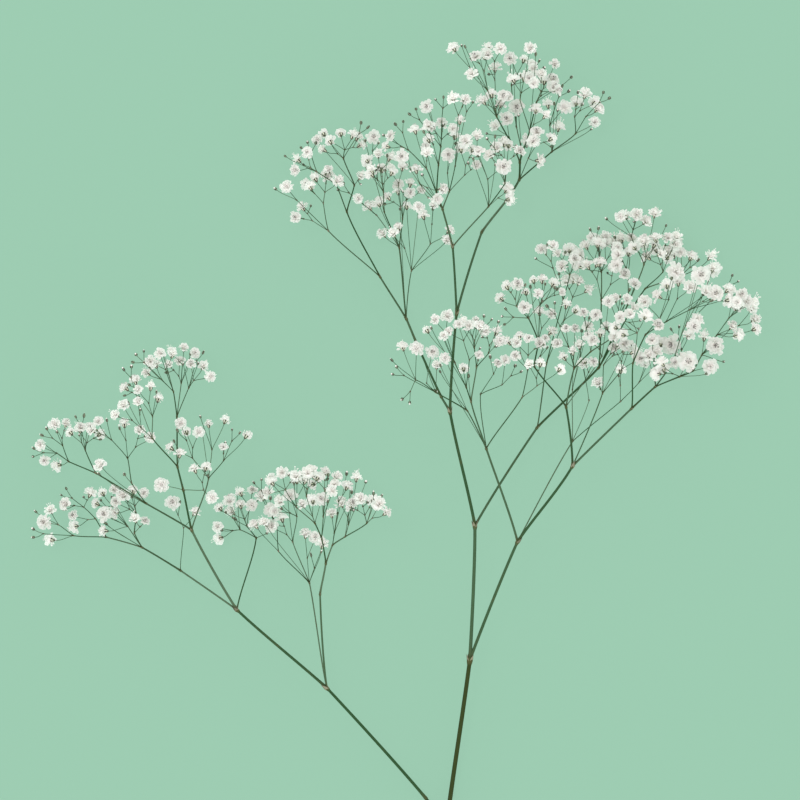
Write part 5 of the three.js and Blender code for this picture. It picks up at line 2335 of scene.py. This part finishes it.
# ---- Stage ----
@dataclass
class Studio:
    """The floor, the light and the camera."""

    floor_radius: float = 4.0
    floor_sides: int = 96
    floor_inset: float = 0.6
    aim: tuple[float, float] = (0.0021654, 0.0399452)
    frame_width: float = 0.480
    middle_height: float = 0.05
    camera_height: float = 20.0
    sensor: float = 36.0
    clip: tuple[float, float] = (0.5, 200.0)
    sky: float = 1.16
    sun: float = 0.50
    sun_spread: float = 20.0
    sun_tilt: tuple[float, float] = (-9.0, -14.0)
    side_lamps: int = 4
    side_lamp: float = 0.62
    side_lamp_height: float = 15.0
    side_lamp_spread: float = 50.0
    first_side: float = 20.0

    def build(self) -> None:
        """Makes all of it."""
        self._floor()
        self._light()
        self._camera()

    def _floor(self) -> None:
        """A wide sheet that the plant lies on."""
        sheet = bmesh.new()
        radius, sides = self.floor_radius, self.floor_sides
        bmesh.ops.create_circle(sheet, cap_ends=True, segments=sides, radius=radius)
        bmesh.ops.inset_region(sheet, faces=sheet.faces[:], thickness=self.floor_inset * radius)
        mesh = bpy.data.meshes.new("floor")
        sheet.to_mesh(mesh)
        sheet.free()
        mesh.materials.append(FloorFinish().material())
        floor = linked("floor", mesh)

    def _light(self) -> None:
        """Even light from all round, a broad soft lamp overhead and low soft lamps at the sides."""
        world = bpy.data.worlds.new("studio")
        world.use_nodes = True
        sky = world.node_tree.nodes["Background"].inputs
        sky["Color"].default_value = (1.0, 1.0, 1.0, 1.0)
        sky["Strength"].default_value = self.sky
        bpy.context.scene.world = world
        overhead = (*(math.radians(angle) for angle in self.sun_tilt), 0.0)
        self._lamp("overhead_lamp", self.sun, self.sun_spread, overhead)
        for side in range(self.side_lamps):
            turn = math.radians(self.first_side) + 2.0 * math.pi * side / self.side_lamps
            slanted = (math.radians(90.0 - self.side_lamp_height), 0.0, turn)
            self._lamp(f"side_lamp_{side + 1}", self.side_lamp, self.side_lamp_spread, slanted)

    @staticmethod
    def _lamp(name: str, energy: float, spread: float, turned: tuple[float, float, float]) -> None:
        """Adds a distant lamp.

        Args:
            name: Its name.
            energy: Its strength.
            spread: How broad it looks from the plant, in degrees.
            turned: Its rotation from straight down, in radians.
        """
        lamp = bpy.data.lights.new(name, "SUN")
        lamp.energy = energy
        lamp.angle = math.radians(spread)
        linked(name, lamp).rotation_euler = turned

    def _camera(self) -> None:
        """A long lens that looks straight down."""
        lens = bpy.data.cameras.new("camera")
        lens.sensor_width = self.sensor
        lens.lens = self.sensor * (self.camera_height - self.middle_height) / self.frame_width
        lens.clip_start, lens.clip_end = self.clip
        camera = linked("camera", lens)
        camera.location = (*self.aim, self.camera_height)
        scene = bpy.context.scene
        scene.camera = camera
        scene.view_settings.view_transform, scene.view_settings.look = "Standard", "None"


def main() -> None:
    """Builds the plant and its stage."""
    logging.basicConfig(level=logging.INFO, format="%(message)s")
    Studio().build()
    cut_end = Node(Kind.LIMB, *CUT_END)
    cut_end.place = np.array(CUT_END)
    plant = Plant(PLANT, cut_end)
    plant.grow()
    Cymes(plant).fill()
    log.info("plant: %d nodes, %d tips", len(plant.nodes), plant.layout.load)
    on_twigs = (StemFinish(), BractFinish(), CalyxFinish(), BudFinish())
    on_flowers = (PetalFinish(), StamenFinish())
    finishes = Finishes(
        stems=[finish.material() for finish in on_twigs],
        flowers=[finish.material() for finish in on_flowers],
    )
    build_main_stem(plant.layout, finishes)
    blooms = Blooms()
    for node in plant.nodes:
        if node.kind is Kind.SPRAY:
            build_spray(node, blooms, finishes)


if __name__ == "__main__":
    main()
